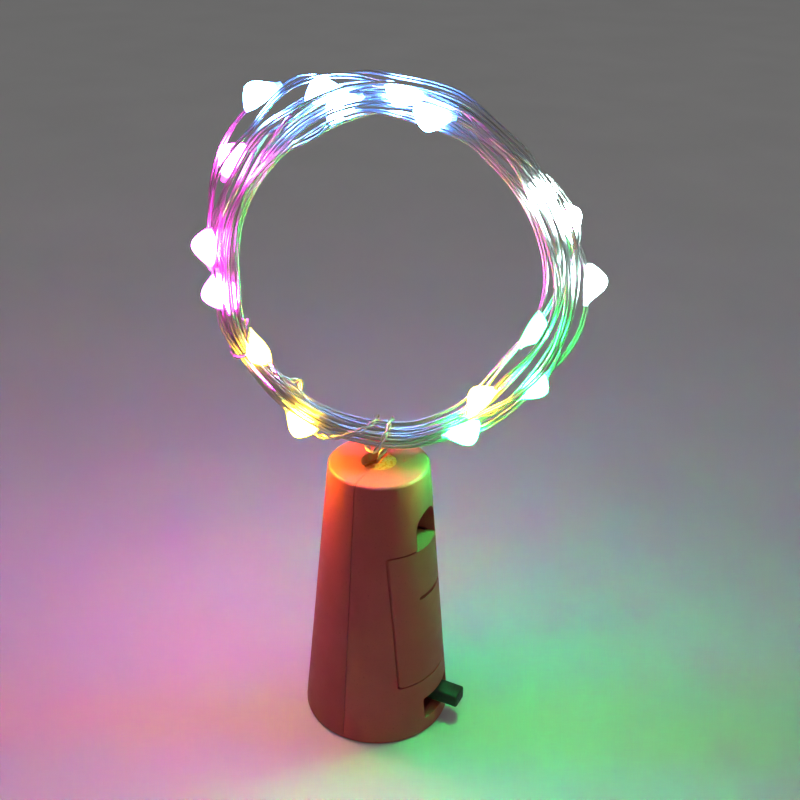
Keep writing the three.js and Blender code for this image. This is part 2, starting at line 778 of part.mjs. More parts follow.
// Wound string. The ring stands on its foot over the cord hole, in its own heading.
const stand = new THREE.Group();
stand.rotation.z = RING_TURN;
stand.position.z = ringFoot;
light.add(stand);
const ring = new THREE.Group();
ring.rotation.x = Math.PI / 2 - RING_LEAN;
stand.add(ring);

const loopStep = (2 * Math.PI) / LOOP_STEPS;
const turnsInLayer = COIL_STEPS / LOOP_STEPS / RING_LAYERS;
const spiralReach = (TURN_PITCH * turnsInLayer) / 2;
const forward = new THREE.Vector3(0, 0, 1);
const coilAngle = (step) => COIL_START - step * loopStep;
const middleRadius = (angle) => RING_RADIUS + RING_OVAL * Math.cos(2 * (angle - RING_OVAL_ANGLE));

// A point of the ring, out from the middle line of its bundle and forward of it
function ringPoint(angle, out, ahead) {
  const radius = middleRadius(angle) + out;
  return new THREE.Vector3(
    RING_SIDE + radius * Math.cos(angle),
    RING_RADIUS + radius * Math.sin(angle),
    ahead,
  );
}

// Where each step of the coil lies in its bundle: spirals out and in, climbing back a layer at each reversal
function bundlePlaces() {
  const places = [];
  for (let step = 0; step <= COIL_STEPS; step += 1) {
    const layers = (step / COIL_STEPS) * RING_LAYERS;
    const layer = Math.min(Math.floor(layers), RING_LAYERS - 1);
    const share = layers - layer;
    const outward = layer % 2 === 0 ? 2 * share - 1 : 1 - 2 * share;
    let climbed = 0;
    for (let reversal = 1; reversal < RING_LAYERS; reversal += 1) {
      const turns = (layers - reversal) * turnsInLayer;
      climbed += THREE.MathUtils.clamp(turns / CLIMB_TURNS + 0.5, 0, 1);
    }
    const ahead = TURN_PITCH * ((RING_LAYERS - 1) / 2 - climbed);
    places.push(new THREE.Vector2(spiralReach * outward, ahead));
  }
  return places;
}

const beadChords = [STEPS_TO_FIRST_BEAD];
BEAD_STEPS.forEach((steps) => beadChords.push(beadChords.at(-1) + steps));

// Each bead holds the turns beside it apart, as much as it needs, and less a step further on
function openForBeads(places) {
  const opening = BEAD_RADIUS + TOUCH_GAP + cordRadius + BEAD_SPARE - TURN_PITCH;
  beadChords.forEach((chord) => {
    BEAD_FADE.forEach((fade, distance) => {
      [chord - distance, chord + 1 + distance].forEach((carrier) => {
        for (let step = carrier % LOOP_STEPS; step <= COIL_STEPS; step += LOOP_STEPS) {
          if (step === carrier) continue;
          const away = places[step].clone().sub(places[carrier]).setLength(opening * fade);
          places[step].add(away);
        }
      });
    });
  });
  return places;
}

// The loose stretch swells out slowly to its bead, and comes back sooner
function loosen(places) {
  const chord = beadChords[LOOSE_BEAD_NUMBER - 1];
  const swell = (share) => LOOSE_OUT * Math.cos((Math.PI / 2) * share) ** 2;
  for (let distance = 0; distance < LOOSE_STEPS_BEFORE; distance += 1) {
    places[chord - distance].x += swell(distance / LOOSE_STEPS_BEFORE);
  }
  for (let distance = 0; distance < LOOSE_STEPS_AFTER; distance += 1) {
    places[chord + 1 + distance].x += swell(distance / LOOSE_STEPS_AFTER);
  }
  return places;
}

const bundle = loosen(openForBeads(bundlePlaces()));
const coilCentres = bundle.map((spot, step) => ringPoint(coilAngle(step), spot.x, spot.y));
place('string_coil', wound(coilCentres, cordRadius, LOOP_SIDES, forward), silverWire(), ring);

const coilGap = leastSelfGap(coilCentres, CORD_DIAMETER, GAP_APART);
console.log(`string_coil: least gap to itself ${coilGap.toFixed(2)} mm, wanted over ${LEAST_GAP} mm`);

// A bead threaded on the cord between two of its points
function bead(name, from, to) {
  const half = BEAD_LENGTH / 2;
  const bore = cordRadius + TOUCH_GAP;
  const shoulder = BEAD_RADIUS - BEAD_SHOULDER;
  const profile = [
    [bore, -half],
    [shoulder, BEAD_END - half],
    [BEAD_RADIUS, 0],
    [shoulder, half - BEAD_END],
    [bore, half],
    [bore, -half],
  ];
  const mesh = place(name, turned(profile, BEAD_SIDES), beadResin(), ring);
  mesh.position.copy(from).lerp(to, 0.5);
  mesh.quaternion.setFromUnitVectors(upward, to.clone().sub(from).normalize());
}

const beadName = (number) => `led_bead_${String(number).padStart(2, '0')}`;
beadChords.forEach((chord, index) => bead(beadName(index + 1), coilCentres[chord], coilCentres[chord + 1]));

// Lead of the string: up out of the glue, twice round the bundle, then behind it into the first turn
function alongRing(start, [along, out, ahead]) {
  return ringPoint(start - along / RING_RADIUS, out, ahead);
}

ring.updateMatrix();
const standToRing = ring.matrix.clone().invert();
const exitPoint = (rise) => new THREE.Vector3(0, CORD_EXIT_BACK, glueTop + rise - ringFoot);
const coilEntry = coilCentres[0].clone().sub(coilCentres[1]).normalize();
const stringLead = [
  exitPoint(TOUCH_GAP).applyMatrix4(standToRing),
  exitPoint(TOUCH_GAP + CORD_DIAMETER).applyMatrix4(standToRing),
  ...LEAD_POINTS.map((point) => alongRing(COIL_START, point)),
  coilCentres[0].clone().addScaledVector(coilEntry, TOUCH_GAP + CORD_DIAMETER),
  coilCentres[0].clone().addScaledVector(coilEntry, TOUCH_GAP),
];
place('string_lead', tube(stringLead, cordRadius, CORD_SIDES, FREE_STEPS), silverWire(), ring);

// Tail of the string: round the bundle once, then back along the inside of the ring with the last bead
const coilEnd = coilCentres[COIL_STEPS];
const coilExit = coilEnd.clone().sub(coilCentres[COIL_STEPS - 1]).normalize();
const placeTail = (point) => alongRing(coilAngle(COIL_STEPS), point);
const tailWrap = TAIL_WRAP.map(placeTail);
const tailEnd = TAIL_END.map(placeTail);
const stringTail = [
  coilEnd.clone().addScaledVector(coilExit, TOUCH_GAP),
  coilEnd.clone().addScaledVector(coilExit, TOUCH_GAP + CORD_DIAMETER),
  ...tailWrap,
  tailWrap.at(-1).clone().lerp(tailEnd[0], 0.5),
  ...tailEnd,
];
place('string_tail', tube(stringTail, cordRadius, CORD_SIDES, TAIL_STEPS), silverWire(), ring);
bead(beadName(beadChords.length + 1), tailWrap.at(-1), tailEnd[0]);

export default light;
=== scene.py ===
import json
import math

import bmesh
import bpy
from mathutils import Matrix, Vector


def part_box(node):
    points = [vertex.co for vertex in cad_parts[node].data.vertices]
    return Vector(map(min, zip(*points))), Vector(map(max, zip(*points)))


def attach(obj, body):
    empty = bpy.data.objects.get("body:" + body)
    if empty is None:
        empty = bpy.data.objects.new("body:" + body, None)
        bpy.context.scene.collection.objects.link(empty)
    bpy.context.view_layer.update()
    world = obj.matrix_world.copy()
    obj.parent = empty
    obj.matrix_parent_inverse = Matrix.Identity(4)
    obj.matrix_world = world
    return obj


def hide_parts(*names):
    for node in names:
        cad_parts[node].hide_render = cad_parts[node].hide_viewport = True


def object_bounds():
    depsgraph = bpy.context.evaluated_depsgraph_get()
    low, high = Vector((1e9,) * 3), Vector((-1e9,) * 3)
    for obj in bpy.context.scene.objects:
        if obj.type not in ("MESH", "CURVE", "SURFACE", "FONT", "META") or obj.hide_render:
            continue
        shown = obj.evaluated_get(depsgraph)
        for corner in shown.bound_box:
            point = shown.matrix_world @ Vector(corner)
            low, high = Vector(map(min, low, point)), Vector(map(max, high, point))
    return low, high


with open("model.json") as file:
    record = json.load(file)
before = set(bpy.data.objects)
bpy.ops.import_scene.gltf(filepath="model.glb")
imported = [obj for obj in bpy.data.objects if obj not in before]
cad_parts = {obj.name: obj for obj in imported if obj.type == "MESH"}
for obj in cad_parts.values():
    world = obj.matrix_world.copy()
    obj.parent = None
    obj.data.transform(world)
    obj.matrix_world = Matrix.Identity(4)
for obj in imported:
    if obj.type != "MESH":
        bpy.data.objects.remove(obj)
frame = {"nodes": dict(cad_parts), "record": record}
CAD_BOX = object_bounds()
NODES = frame["nodes"]
SLOT_OF = {part["node"]: part["material_slot"] for part in frame["record"]["subparts"]}
MM = 0.001

# Camera: the photograph's own view, which looks at the seam side of the stopper
CAMERA_TURN = math.radians(27.4)
CAMERA_PLACE = Vector((0, -141.9 * MM, 131.5 * MM))
CAMERA_PITCH = 0.487
CAMERA_YAW = 0.021
CAMERA_ROLL = 0.018
FOCAL_PIXELS = 1100
IMAGE_PIXELS = 800
SENSOR_WIDTH = 36


def make_camera():
    data = bpy.data.cameras.new("camera")
    data.sensor_width = SENSOR_WIDTH
    data.lens = FOCAL_PIXELS / IMAGE_PIXELS * SENSOR_WIDTH
    data.clip_start = MM
    camera = bpy.data.objects.new("camera", data)
    bpy.context.collection.objects.link(camera)
    level = math.cos(CAMERA_PITCH)
    ahead = Vector((math.sin(CAMERA_YAW) * level, math.cos(CAMERA_YAW) * level, -math.sin(CAMERA_PITCH)))
    right = Vector((math.cos(CAMERA_YAW), -math.sin(CAMERA_YAW), 0))
    up = right.cross(ahead)
    rolled_right = right * math.cos(CAMERA_ROLL) + up * math.sin(CAMERA_ROLL)
    rolled_up = up * math.cos(CAMERA_ROLL) - right * math.sin(CAMERA_ROLL)
    facing = Matrix((rolled_right, rolled_up, -ahead)).transposed().to_4x4()
    turn = Matrix.Rotation(CAMERA_TURN, 4, "Z")
    camera.matrix_world = turn @ Matrix.Translation(CAMERA_PLACE) @ facing
    bpy.context.scene.camera = camera


make_camera()


# Material helpers


def srgb(red, green, blue):
    """A colour from its 8-bit screen values."""
    linear = []
    for value in (red, green, blue):
        share = value / 255
        linear.append(share / 12.92 if share <= 0.04045 else ((share + 0.055) / 1.055) ** 2.4)
    return (*linear, 1)


def new_material(name, **values):
    """A material whose shader has the given sockets set, named with underscores for spaces."""
    material = bpy.data.materials.new(name)
    material.use_nodes = True
    shader = material.node_tree.nodes["Principled BSDF"]
    for socket, value in values.items():
        shader.inputs[socket.replace("_", " ")].default_value = value
    return material, shader


def add_node(material, kind):
    return material.node_tree.nodes.new(kind)


def link(material, output, socket):
    material.node_tree.links.new(output, socket)


def noise(material, size, detail=2, stretch=(1, 1, 1)):
    """Noise over the piece, with marks of about the given size."""
    place = add_node(material, "ShaderNodeTexCoord")
    mapping = add_node(material, "ShaderNodeMapping")
    texture = add_node(material, "ShaderNodeTexNoise")
    mapping.inputs["Scale"].default_value = stretch
    texture.inputs["Scale"].default_value = 1 / size
    texture.inputs["Detail"].default_value = detail
    link(material, place.outputs["Object"], mapping.inputs["Vector"])
    link(material, mapping.outputs["Vector"], texture.inputs["Vector"])
    return texture.outputs["Fac"]


def spread(material, value, low, high, start=0.3, stop=0.7):
    """Maps a value from start..stop to low..high."""
    span = add_node(material, "ShaderNodeMapRange")
    link(material, value, span.inputs["Value"])
    for socket, number in (("From Min", start), ("From Max", stop), ("To Min", low), ("To Max", high)):
        span.inputs[socket].default_value = number
    return span.outputs["Result"]


def patches(material, size, detail=2, stretch=(1, 1, 1), start=0.3, stop=0.7):
    """Noise drawn out to the whole range from 0 to 1, for mixing two colours."""
    return spread(material, noise(material, size, detail, stretch), 0, 1, start, stop)


def mixed(material, value, first, second):
    """Mixes two colours, or a colour into an output, by a value from 0 to 1."""
    mix = add_node(material, "ShaderNodeMix")
    mix.data_type = "RGBA"
    link(material, value, mix.inputs["Factor"])
    for socket, color in ((mix.inputs[6], first), (mix.inputs[7], second)):
        if isinstance(color, tuple):
            socket.default_value = color
        else:
            link(material, color, socket)
    return mix.outputs[2]


def add_color(material, shader, value, first, second):
    link(material, mixed(material, value, first, second), shader.inputs["Base Color"])


def add_roughness(material, shader, value, low, high):
    link(material, spread(material, value, low, high), shader.inputs["Roughness"])


def add_bump(material, shader, height, depth):
    bump = add_node(material, "ShaderNodeBump")
    bump.inputs["Distance"].default_value = depth
    link(material, height, bump.inputs["Height"])
    link(material, bump.outputs["Normal"], shader.inputs["Normal"])


# Materials


def cork_plastic():
    """Brick-red moulded plastic: faint flow clouds, a fine grain and an uneven satin."""
    material, shader = new_material("cork_plastic", IOR=1.5, Specular_IOR_Level=0.3)
    clouds = patches(material, size=9 * MM, detail=3)
    specks = patches(material, size=0.35 * MM, start=0.62, stop=0.75)
    base = mixed(material, clouds, srgb(164, 65, 60), srgb(174, 73, 67))
    add_color(material, shader, specks, base, srgb(154, 59, 55))
    add_roughness(material, shader, noise(material, size=2.5 * MM, detail=3), low=0.42, high=0.54)
    add_bump(material, shader, noise(material, size=0.22 * MM, detail=3), depth=0.012 * MM)
    return material


def black_plastic():
    material, shader = new_material("switch_black", IOR=1.5)
    clouds = patches(material, size=1.2 * MM, detail=3)
    add_color(material, shader, clouds, srgb(11, 10, 11), srgb(17, 16, 17))
    add_roughness(material, shader, noise(material, size=0.6 * MM, detail=3), low=0.5, high=0.65)
    add_bump(material, shader, noise(material, size=0.15 * MM), depth=0.01 * MM)
    return material


def brushed_metal(name, dark, bright, low, high, stretch):
    """Metal with stains from dark to bright, and streaks whose roughness runs from low to high."""
    material, shader = new_material(name, Metallic=1)
    streaks = noise(material, size=0.4 * MM, detail=4, stretch=stretch)
    stains = patches(material, size=3 * MM, detail=3)
    add_color(material, shader, stains, dark, bright)
    add_roughness(material, shader, streaks, low, high)
    add_bump(material, shader, streaks, depth=0.006 * MM)
    return material


def cell_steel():
    return brushed_metal(
        "cell_steel", srgb(196, 197, 199), srgb(214, 214, 213), low=0.16, high=0.32,
        stretch=(0.15, 0.15, 1.5))


def contact_steel():
    return brushed_metal(
        "contact_steel", srgb(178, 181, 186), srgb(198, 200, 203), low=0.25, high=0.42, stretch=(1, 0.1, 1))


def switch_steel():
    return brushed_metal(
        "switch_steel", srgb(150, 154, 159), srgb(172, 175, 179), low=0.3, high=0.48, stretch=(1, 0.1, 1))


def copper():
    return brushed_metal(
        "copper", srgb(190, 140, 96), srgb(208, 165, 120), low=0.25, high=0.4, stretch=(1, 0.2, 1))


def silver_wire():
    """Bare silvered wire under a thin clear varnish."""
    material, shader = new_material("string_wire", Metallic=1, Coat_Weight=0.4, Coat_Roughness=0.08)
    tarnish = patches(material, size=6 * MM, detail=3)
    add_color(material, shader, tarnish, srgb(172, 167, 163), srgb(200, 195, 190))
    add_roughness(material, shader, noise(material, size=0.8 * MM, detail=3), low=0.3, high=0.44)
    return material


def circuit_board():
    material, shader = new_material("board_green", Coat_Weight=0.5, Coat_Roughness=0.15)
    tracks = patches(material, size=1.6 * MM, detail=1, stretch=(1, 1, 0.2), start=0.5, stop=0.53)
    add_color(material, shader, tracks, srgb(38, 92, 52), srgb(56, 122, 70))
    add_roughness(material, shader, noise(material, size=0.5 * MM), low=0.4, high=0.6)
    return material


def phenolic():
    material, shader = new_material("phenolic")
    fibres = noise(material, size=0.3 * MM, detail=4, stretch=(1, 0.2, 1))
    add_color(material, shader, fibres, srgb(96, 66, 38), srgb(126, 90, 54))
    add_roughness(material, shader, fibres, low=0.6, high=0.8)
    add_bump(material, shader, fibres, depth=0.01 * MM)
    return material


def hot_glue():
    """Amber glue with a wet skin, a little light passing through it."""
    material, shader = new_material(
        "hot_glue", Subsurface_Weight=0.35, Subsurface_Scale=0.6 * MM, Coat_Weight=0.6, Coat_Roughness=0.1)
    clouds = patches(material, size=1.1 * MM, detail=3)
    add_color(material, shader, clouds, srgb(205, 108, 38), srgb(220, 128, 54))
    add_roughness(material, shader, noise(material, size=0.5 * MM), low=0.2, high=0.4)
    add_bump(material, shader, noise(material, size=0.7 * MM), depth=0.05 * MM)
    return material


def lead_jacket(name, dark, bright):
    material, shader = new_material(name)
    scuffs = patches(material, size=1.5 * MM, detail=3)
    add_color(material, shader, scuffs, dark, bright)
    add_roughness(material, shader, noise(material, size=0.4 * MM), low=0.4, high=0.6)
    return material


# Light of the beads: tint of the resin, colour of the light, and its strength over the chip
BEAD_LIGHTS = {
    "bead_green": (srgb(205, 245, 210), (0.01, 1.0, 0.15, 1), 660),
    "bead_blue": (srgb(205, 222, 250), (0.07, 0.24, 1.0, 1), 340),
    "bead_pink": (srgb(250, 210, 235), (1.0, 0.03, 0.8, 1), 440),
    "bead_amber": (srgb(250, 232, 200), (1.0, 0.55, 0.02, 1), 440),
    "bead_white": (srgb(240, 244, 250), (0.5, 0.85, 0.85, 1), 180),
}
BEAD_EDGE_LIGHT = 6


def lit_resin(name, tint, light, strength):
    """A clear drop over a lit chip: brightest over the chip, fading along the wires."""
    material, shader = new_material(
        name, Emission_Color=light, Roughness=0.12, Coat_Weight=1.0, Coat_Roughness=0.04)
    glow = add_node(material, "ShaderNodeAttribute")
    glow.attribute_name = "glow"
    power = spread(material, glow.outputs["Fac"], BEAD_EDGE_LIGHT, strength, 0, 1)
    link(material, power, shader.inputs["Emission Strength"])
    haze = patches(material, size=0.8 * MM)
    add_color(material, shader, haze, tint, srgb(248, 246, 240))
    return material


MATERIALS = {
    "cork_plastic": cork_plastic(),
    "cell_steel": cell_steel(),
    "contact_steel": contact_steel(),
    "switch_steel": switch_steel(),
    "copper": copper(),
    "board_green": circuit_board(),
    "phenolic": phenolic(),
    "switch_black": black_plastic(),
    "hot_glue": hot_glue(),
    "lead_red": lead_jacket("lead_red", srgb(160, 34, 28), srgb(186, 50, 42)),
    "lead_black": lead_jacket("lead_black", srgb(24, 24, 26), srgb(40, 40, 43)),
    "string_wire": silver_wire(),
}
for bead_slot, bead_light in BEAD_LIGHTS.items():
    MATERIALS[bead_slot] = lit_resin(bead_slot, *bead_light)


def wear(piece, slot):
    piece.data.materials.append(MATERIALS[slot])


# Mesh helpers
SHARP_ANGLE = math.radians(32)


def shade(piece):
    piece.data.shade_smooth()
    piece.data.set_sharp_from_angle(angle=SHARP_ANGLE)
    return piece


def mesh_piece(name, points, faces):
    mesh = bpy.data.meshes.new(name)
    mesh.from_pydata([tuple(point) for point in points], [], faces)
    mesh.update()
    piece = bpy.data.objects.new(name, mesh)
    bpy.context.collection.objects.link(piece)
    return shade(piece)


def between(start, end, share):
    return start + (end - start) * share


def ease(share):
    share = min(max(share, 0), 1)
    return share * share * (3 - 2 * share)


def tube_mesh(centres, sections, sides):
    """Points and faces of a closed tube: sections holds, for each centre, one ring of points round it."""
    points = [point for section in sections for point in section]
    faces = []
    last = len(centres) - 1
    for step in range(last):
        for side in range(sides):
            after = (side + 1) % sides
            low = step * sides
            faces.append((low + side, low + after, low + sides + after, low + sides + side))
    faces.append(tuple(reversed(range(sides))))
    faces.append(tuple(range(last * sides, (last + 1) * sides)))
    return points, faces


def angles_round(count):
    return [2 * math.pi * step / count for step in range(count)]


def ring_of_points(centre, across, over, radius, sides):
    ring = []
    for angle in angles_round(sides):
        ring.append(centre + (across * math.cos(angle) + over * math.sin(angle)) * radius)
    return ring


def carried_frames(centres):
    """Two cross directions at each centre, carried along the line without twisting."""
    frames = []
    across = None
    for index, centre in enumerate(centres):
        before = centres[max(index - 1, 0)]
        after = centres[min(index + 1, len(centres) - 1)]
        along = (after - before).normalized()
        if across is None:
            across = along.orthogonal()
        across = (across - along * across.dot(along)).normalized()
        frames.append((across, along.cross(across)))
    return frames


# Ring of the wound string: it stands over the cord hole in its own heading, and leans back
CORD_DIAMETER = 0.9 * MM
CORD_EXIT_BACK = 0.9 * MM
RING_TURN = math.radians(27.4)
RING_LEAN = math.radians(10)
RING_RADIUS = 24.3 * MM
RING_OVAL = 1.0 * MM
RING_OVAL_ANGLE = math.radians(135)
RING_SIDE = 2.6 * MM
RING_RISE = 4.5 * MM
RING_LAYERS = 4
TURN_PITCH = 1.36 * MM
COIL_START = math.radians(210)
COIL_STEPS = 312
LOOP_STEPS = 24
CLIMB_TURNS = 0.5
LOOP_STEP = 2 * math.pi / LOOP_STEPS
TURNS_IN_LAYER = COIL_STEPS / LOOP_STEPS / RING_LAYERS
SPIRAL_REACH = TURN_PITCH * TURNS_IN_LAYER / 2

BODY_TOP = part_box("shell_front")[1].z
GLUE_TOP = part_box("glue_plug")[1].z
RING_FOOT = BODY_TOP + RING_RISE
STAND_PLACE = Matrix.Translation((0, 0, RING_FOOT)) @ Matrix.Rotation(RING_TURN, 4, "Z")
RING_PLACE = STAND_PLACE @ Matrix.Rotation(math.pi / 2 - RING_LEAN, 4, "X")

# Beads: the middle step of the first one, then the steps round the coil from each to the next
STEPS_TO_FIRST_BEAD = 17
BEAD_STEPS = [15, 18, 16, 14, 17, 15, 14, 19, 14, 15, 17, 15, 15, 17, 14, 16, 18, 14]

# The share of a bead's move that the string beside it takes, and the room it keeps, by steps from the bead
BEAD_SHARES = [1, 0.55, 0.2]
BEAD_ROOM = [1.6 * MM, 1.1 * MM]

# Most beads lie at the front of the bundle, and a few at its back
BEAD_AHEAD = 1.0 * MM
BEAD_AHEAD_LIMIT = 3.0 * MM
BEADS_AT_BACK = (9, 12, 18)

# How far each bead has moved out from its place in the bundle, in mm, and along it, in steps
BEADS_OUT = {
    1: -1.0, 2: -0.5, 3: 1.6, 4: -1.2, 5: -1.4, 6: 0.6, 7: -0.2, 8: -0.6, 9: 2.2,
    11: 2.2, 12: 0.6, 13: 1.5, 14: -1.3, 15: 0.2, 16: 0.2, 17: 2.0, 18: 2.0, 19: 2.0,
}
BEADS_ALONG = {
    1: 0.27, 2: 0.26, 5: -0.4, 6: 0.15, 7: 0.14, 8: 0.28,
    13: -0.35, 15: -0.3, 16: 0.29, 17: -0.25, 19: -0.4,
}

# One bead hangs on a loose stretch of its turn, which stands out from the bundle
LOOSE_BEAD = 14
LOOSE_OUT = 3.9 * MM
LOOSE_STEPS_BEFORE = 5
LOOSE_STEPS_AFTER = 1

# How far the bundle lies out from the even ring, in mm, by angle in degrees
SHIFTED_OUT = [
    (0, -0.6), (50, -1.2), (75, -0.2), (105, 0.5), (140, -0.2), (180, 0),
    (205, 1.1), (235, 1.1), (270, 0.4), (290, -0.4), (320, -1.5),
]

# How wide the bundle is, as a share of the even one, by angle in degrees
DRAWN_IN = [
    (0, 1.1), (45, 1.05), (90, 1.15), (120, 1.3), (165, 0.88),
    (207, 0.54), (240, 0.6), (275, 0.72), (322, 1.5),
]

# Natural sway of the turns: rate round the ring, phase and size, outward and then forward
SWAY_OUT = [(1.31, 0.7, 0.42 * MM), (2.77, 2.0, 0.22 * MM)]
SWAY_AHEAD = [(1.73, 1.9, 0.3 * MM), (3.19, 0.3, 0.16 * MM)]
SWAY_FADE_STEPS = 6

# Free ends, in mm: along the ring from where the coil starts and ends, out from its middle, and forward
LEAD_POINTS = [
    (-24.7, 2.9, -3.5), (-24.8, 1.5, -4.2), (-24.8, 0, -4.3), (-24.8, -1.8, -4.1), (-24.7, -3.3, -3.3),
    (-24.6, -4.2, -1.7), (-24.5, -4.3, 0), (-24.3, -4.1, 1.7), (-24.0, -3.3, 3.2), (-23.7, -1.8, 4.0),
    (-23.3, 0, 4.1), (-22.9, 1.9, 3.9), (-22.4, 3.3, 3.1), (-22.0, 3.95, 1.6), (-21.6, 4.0, 0),
    (-21.4, 3.9, -1.6), (-21.4, 3.3, -3.3), (-21.5, 1.9, -4.2), (-21.7, 0, -4.4), (-21.9, -1.9, -4.3),
    (-22.1, -3.6, -3.4), (-22.2, -4.4, -1.7), (-22.2, -4.5, 0), (-21.9, -4.3, 1.8), (-21.2, -3.6, 3.4),
    (-20.1, -2.3, 4.5), (-18.9, -0.9, 4.8), (-17.7, 0.7, 4.8), (-16.5, 2.3, 4.5), (-15.4, 3.6, 3.4),
    (-14.5, 4.4, 1.8), (-13.7, 4.5, -0.1), (-13.0, 4.2, -2.0), (-12.2, 3.3, -3.7), (-11.3, 1.8, -4.8),
    (-10.4, 0, -5.1), (-9.5, -1.8, -4.9), (-8.8, -3.5, -4.5), (-8.2, -5.0, -3.4), (-7.7, -5.5, -1.5),
    (-7.0, -5.1, 0.6), (-6.1, -4.4, 2.0), (-5.1, -3.8, 3.0), (-4.1, -3.6, 3.5), (-3.1, -3.5, 3.7),
    (-2.2, -3.4, 3.7),
]
TAIL_WRAP = [
    (2.0, -3.6, -3.9), (2.5, -2.4, -4.9), (2.7, -0.4, -5.2), (2.6, 1.8, -5.2), (2.3, 3.8, -4.5),
    (2.0, 5.0, -2.8), (1.7, 5.3, -0.7), (1.4, 5.2, 1.6), (1.1, 4.6, 3.8), (0.9, 2.5, 5.1), (0.8, 0, 5.3),
    (0.9, -2.5, 5.2), (1.4, -4.5, 4.6), (2.6, -5.9, 3.8), (4.2, -6.8, 3.0), (5.6, -7.3, 1.7),
    (5.6, -7.5, 0.1), (4.2, -7.3, -0.7),
]
TAIL_END = [
    (-2.6, -6.9, -0.6), (-3.9, -6.8, -0.5), (-5.2, -7.0, 0.2), (-6.5, -7.2, 0.6), (-7.8, -7.2, 0),
    (-9.1, -6.8, -0.5), (-10.4, -6.3, 0.2),
]

# How closely the free ends hug the bundle, as a share of those distances: the tail's first points are its tie
LEAD_HUG = 0.85
WRAP_HUG = 0.7
WRAP_POINTS = 13
TAIL_HUG = 0.45
TAIL_FORWARD = 2.4 * MM


def at_angle(stops, angle):
    """A value eased from stop to stop round the ring, the first stop at no degrees."""
    degrees = math.degrees(angle) % 360
    closed = stops + [(360, stops[0][1])]
    for (first, low), (second, high) in zip(closed, closed[1:]):
        if first <= degrees <= second:
            return between(low, high, ease((degrees - first) / (second - first)))


def middle_radius(angle):
    oval = RING_OVAL * math.cos(2 * (angle - RING_OVAL_ANGLE))
    return RING_RADIUS + oval + at_angle(SHIFTED_OUT, angle) * MM


def ring_point(angle, out, ahead):
    share = at_angle(DRAWN_IN, angle)
    radius = middle_radius(angle) + out * share
    return RING_PLACE @ Vector((
        RING_SIDE + radius * math.cos(angle), RING_RADIUS + radius * math.sin(angle), ahead * share))


def along_ring(point, hug, forward=0):
    along, out, ahead = (value * MM for value in point)
    return ring_point(COIL_START - along / RING_RADIUS, out * hug, ahead * hug + forward)


def bundle_places():
    """Where each step lies in the bundle: spirals out and in, climbing a layer at each reversal."""
    places = []
    for step in range(COIL_STEPS + 1):
        layers = step / COIL_STEPS * RING_LAYERS
        layer = min(int(layers), RING_LAYERS - 1)
        share = layers - layer
        outward = 2 * share - 1 if layer % 2 == 0 else 1 - 2 * share
        climbed = 0
        for reversal in range(1, RING_LAYERS):
            turns = (layers - reversal) * TURNS_IN_LAYER
            climbed += min(max(turns / CLIMB_TURNS + 0.5, 0), 1)
        places.append(Vector((SPIRAL_REACH * outward, TURN_PITCH * ((RING_LAYERS - 1) / 2 - climbed))))
    return places


def bead_chords():
    chords = [STEPS_TO_FIRST_BEAD]
    for steps in BEAD_STEPS:
        chords.append(chords[-1] + steps)
    return chords


def bring_beads_out(places):
    """Most beads have worked their way forward or out, with the string on both sides of them."""
    for number, chord in enumerate(bead_chords(), 1):
        out = BEADS_OUT.get(number, 0) * MM
        middle = (places[chord].y + places[chord + 1].y) / 2
        ahead = 0 if number in BEADS_AT_BACK else min(max(BEAD_AHEAD - middle, 0), BEAD_AHEAD_LIMIT)
        for distance, share in enumerate(BEAD_SHARES):
            for carrier in (chord - distance, chord + 1 + distance):
                places[carrier] += Vector((out, ahead)) * share


def open_for_beads(places):
    """Each bead holds the turns beside it apart, and less a step further on."""
    for number, chord in enumerate(bead_chords(), 1):
        if number in BEADS_AT_BACK:
            continue
        for distance, room in enumerate(BEAD_ROOM):
            for carrier in (chord - distance, chord + 1 + distance):
                for step in range(carrier % LOOP_STEPS, COIL_STEPS + 1, LOOP_STEPS):
                    away = places[step] - places[carrier]
                    if step != carrier and away.length < room:
                        places[step] = places[carrier] + away.normalized() * room


def loose_out(position):
    """How far the loose stretch stands out from the bundle, on its way to its bead and back."""
    chord = bead_chords()[LOOSE_BEAD - 1]
    before = max(chord - position, 0) / LOOSE_STEPS_BEFORE
    after = max(position - chord - 1, 0) / LOOSE_STEPS_AFTER
    return LOOSE_OUT * math.cos(math.pi / 2 * min(before + after, 1)) ** 2


PLACES = bundle_places()
bring_beads_out(PLACES)
open_for_beads(PLACES)


def place_at(position):
    """The place in the bundle at any point between steps, on a smooth curve through the steps."""
    step = min(int(position), COIL_STEPS - 1)
    share = position - step
    before, first, second, after = (
        PLACES[min(max(index, 0), COIL_STEPS)] for index in (step - 1, step, step + 1, step + 2))
    return 0.5 * (
        2 * first
        + (second - before) * share
        + (2 * before - 5 * first + 4 * second - after) * share ** 2
        + (3 * first - before - 3 * second + after) * share ** 3
    )


def sway(waves, turned):
    return sum(size * math.sin(rate * turned + phase) for rate, phase, size in waves)


def coil_point(position):
    turned = position * LOOP_STEP
    calm = ease(min(position, COIL_STEPS - position) / SWAY_FADE_STEPS)
    place = place_at(position)
    out = place.x + loose_out(position) + calm * sway(SWAY_OUT, turned)
    ahead = place.y + calm * sway(SWAY_AHEAD, turned)
    return ring_point(COIL_START - turned, out, ahead)


def centripetal(points, knots, knot):
    """A point of the centripetal curve through four points, at one knot between the middle two."""
    for spans in (((0, 1), (1, 2), (2, 3)), ((0, 2), (1, 3)), ((1, 2),)):
        points = [
            between(points[index], points[index + 1], (knot - knots[start]) / (knots[stop] - knots[start]))
            for index, (start, stop) in enumerate(spans)
        ]
    return points[0]


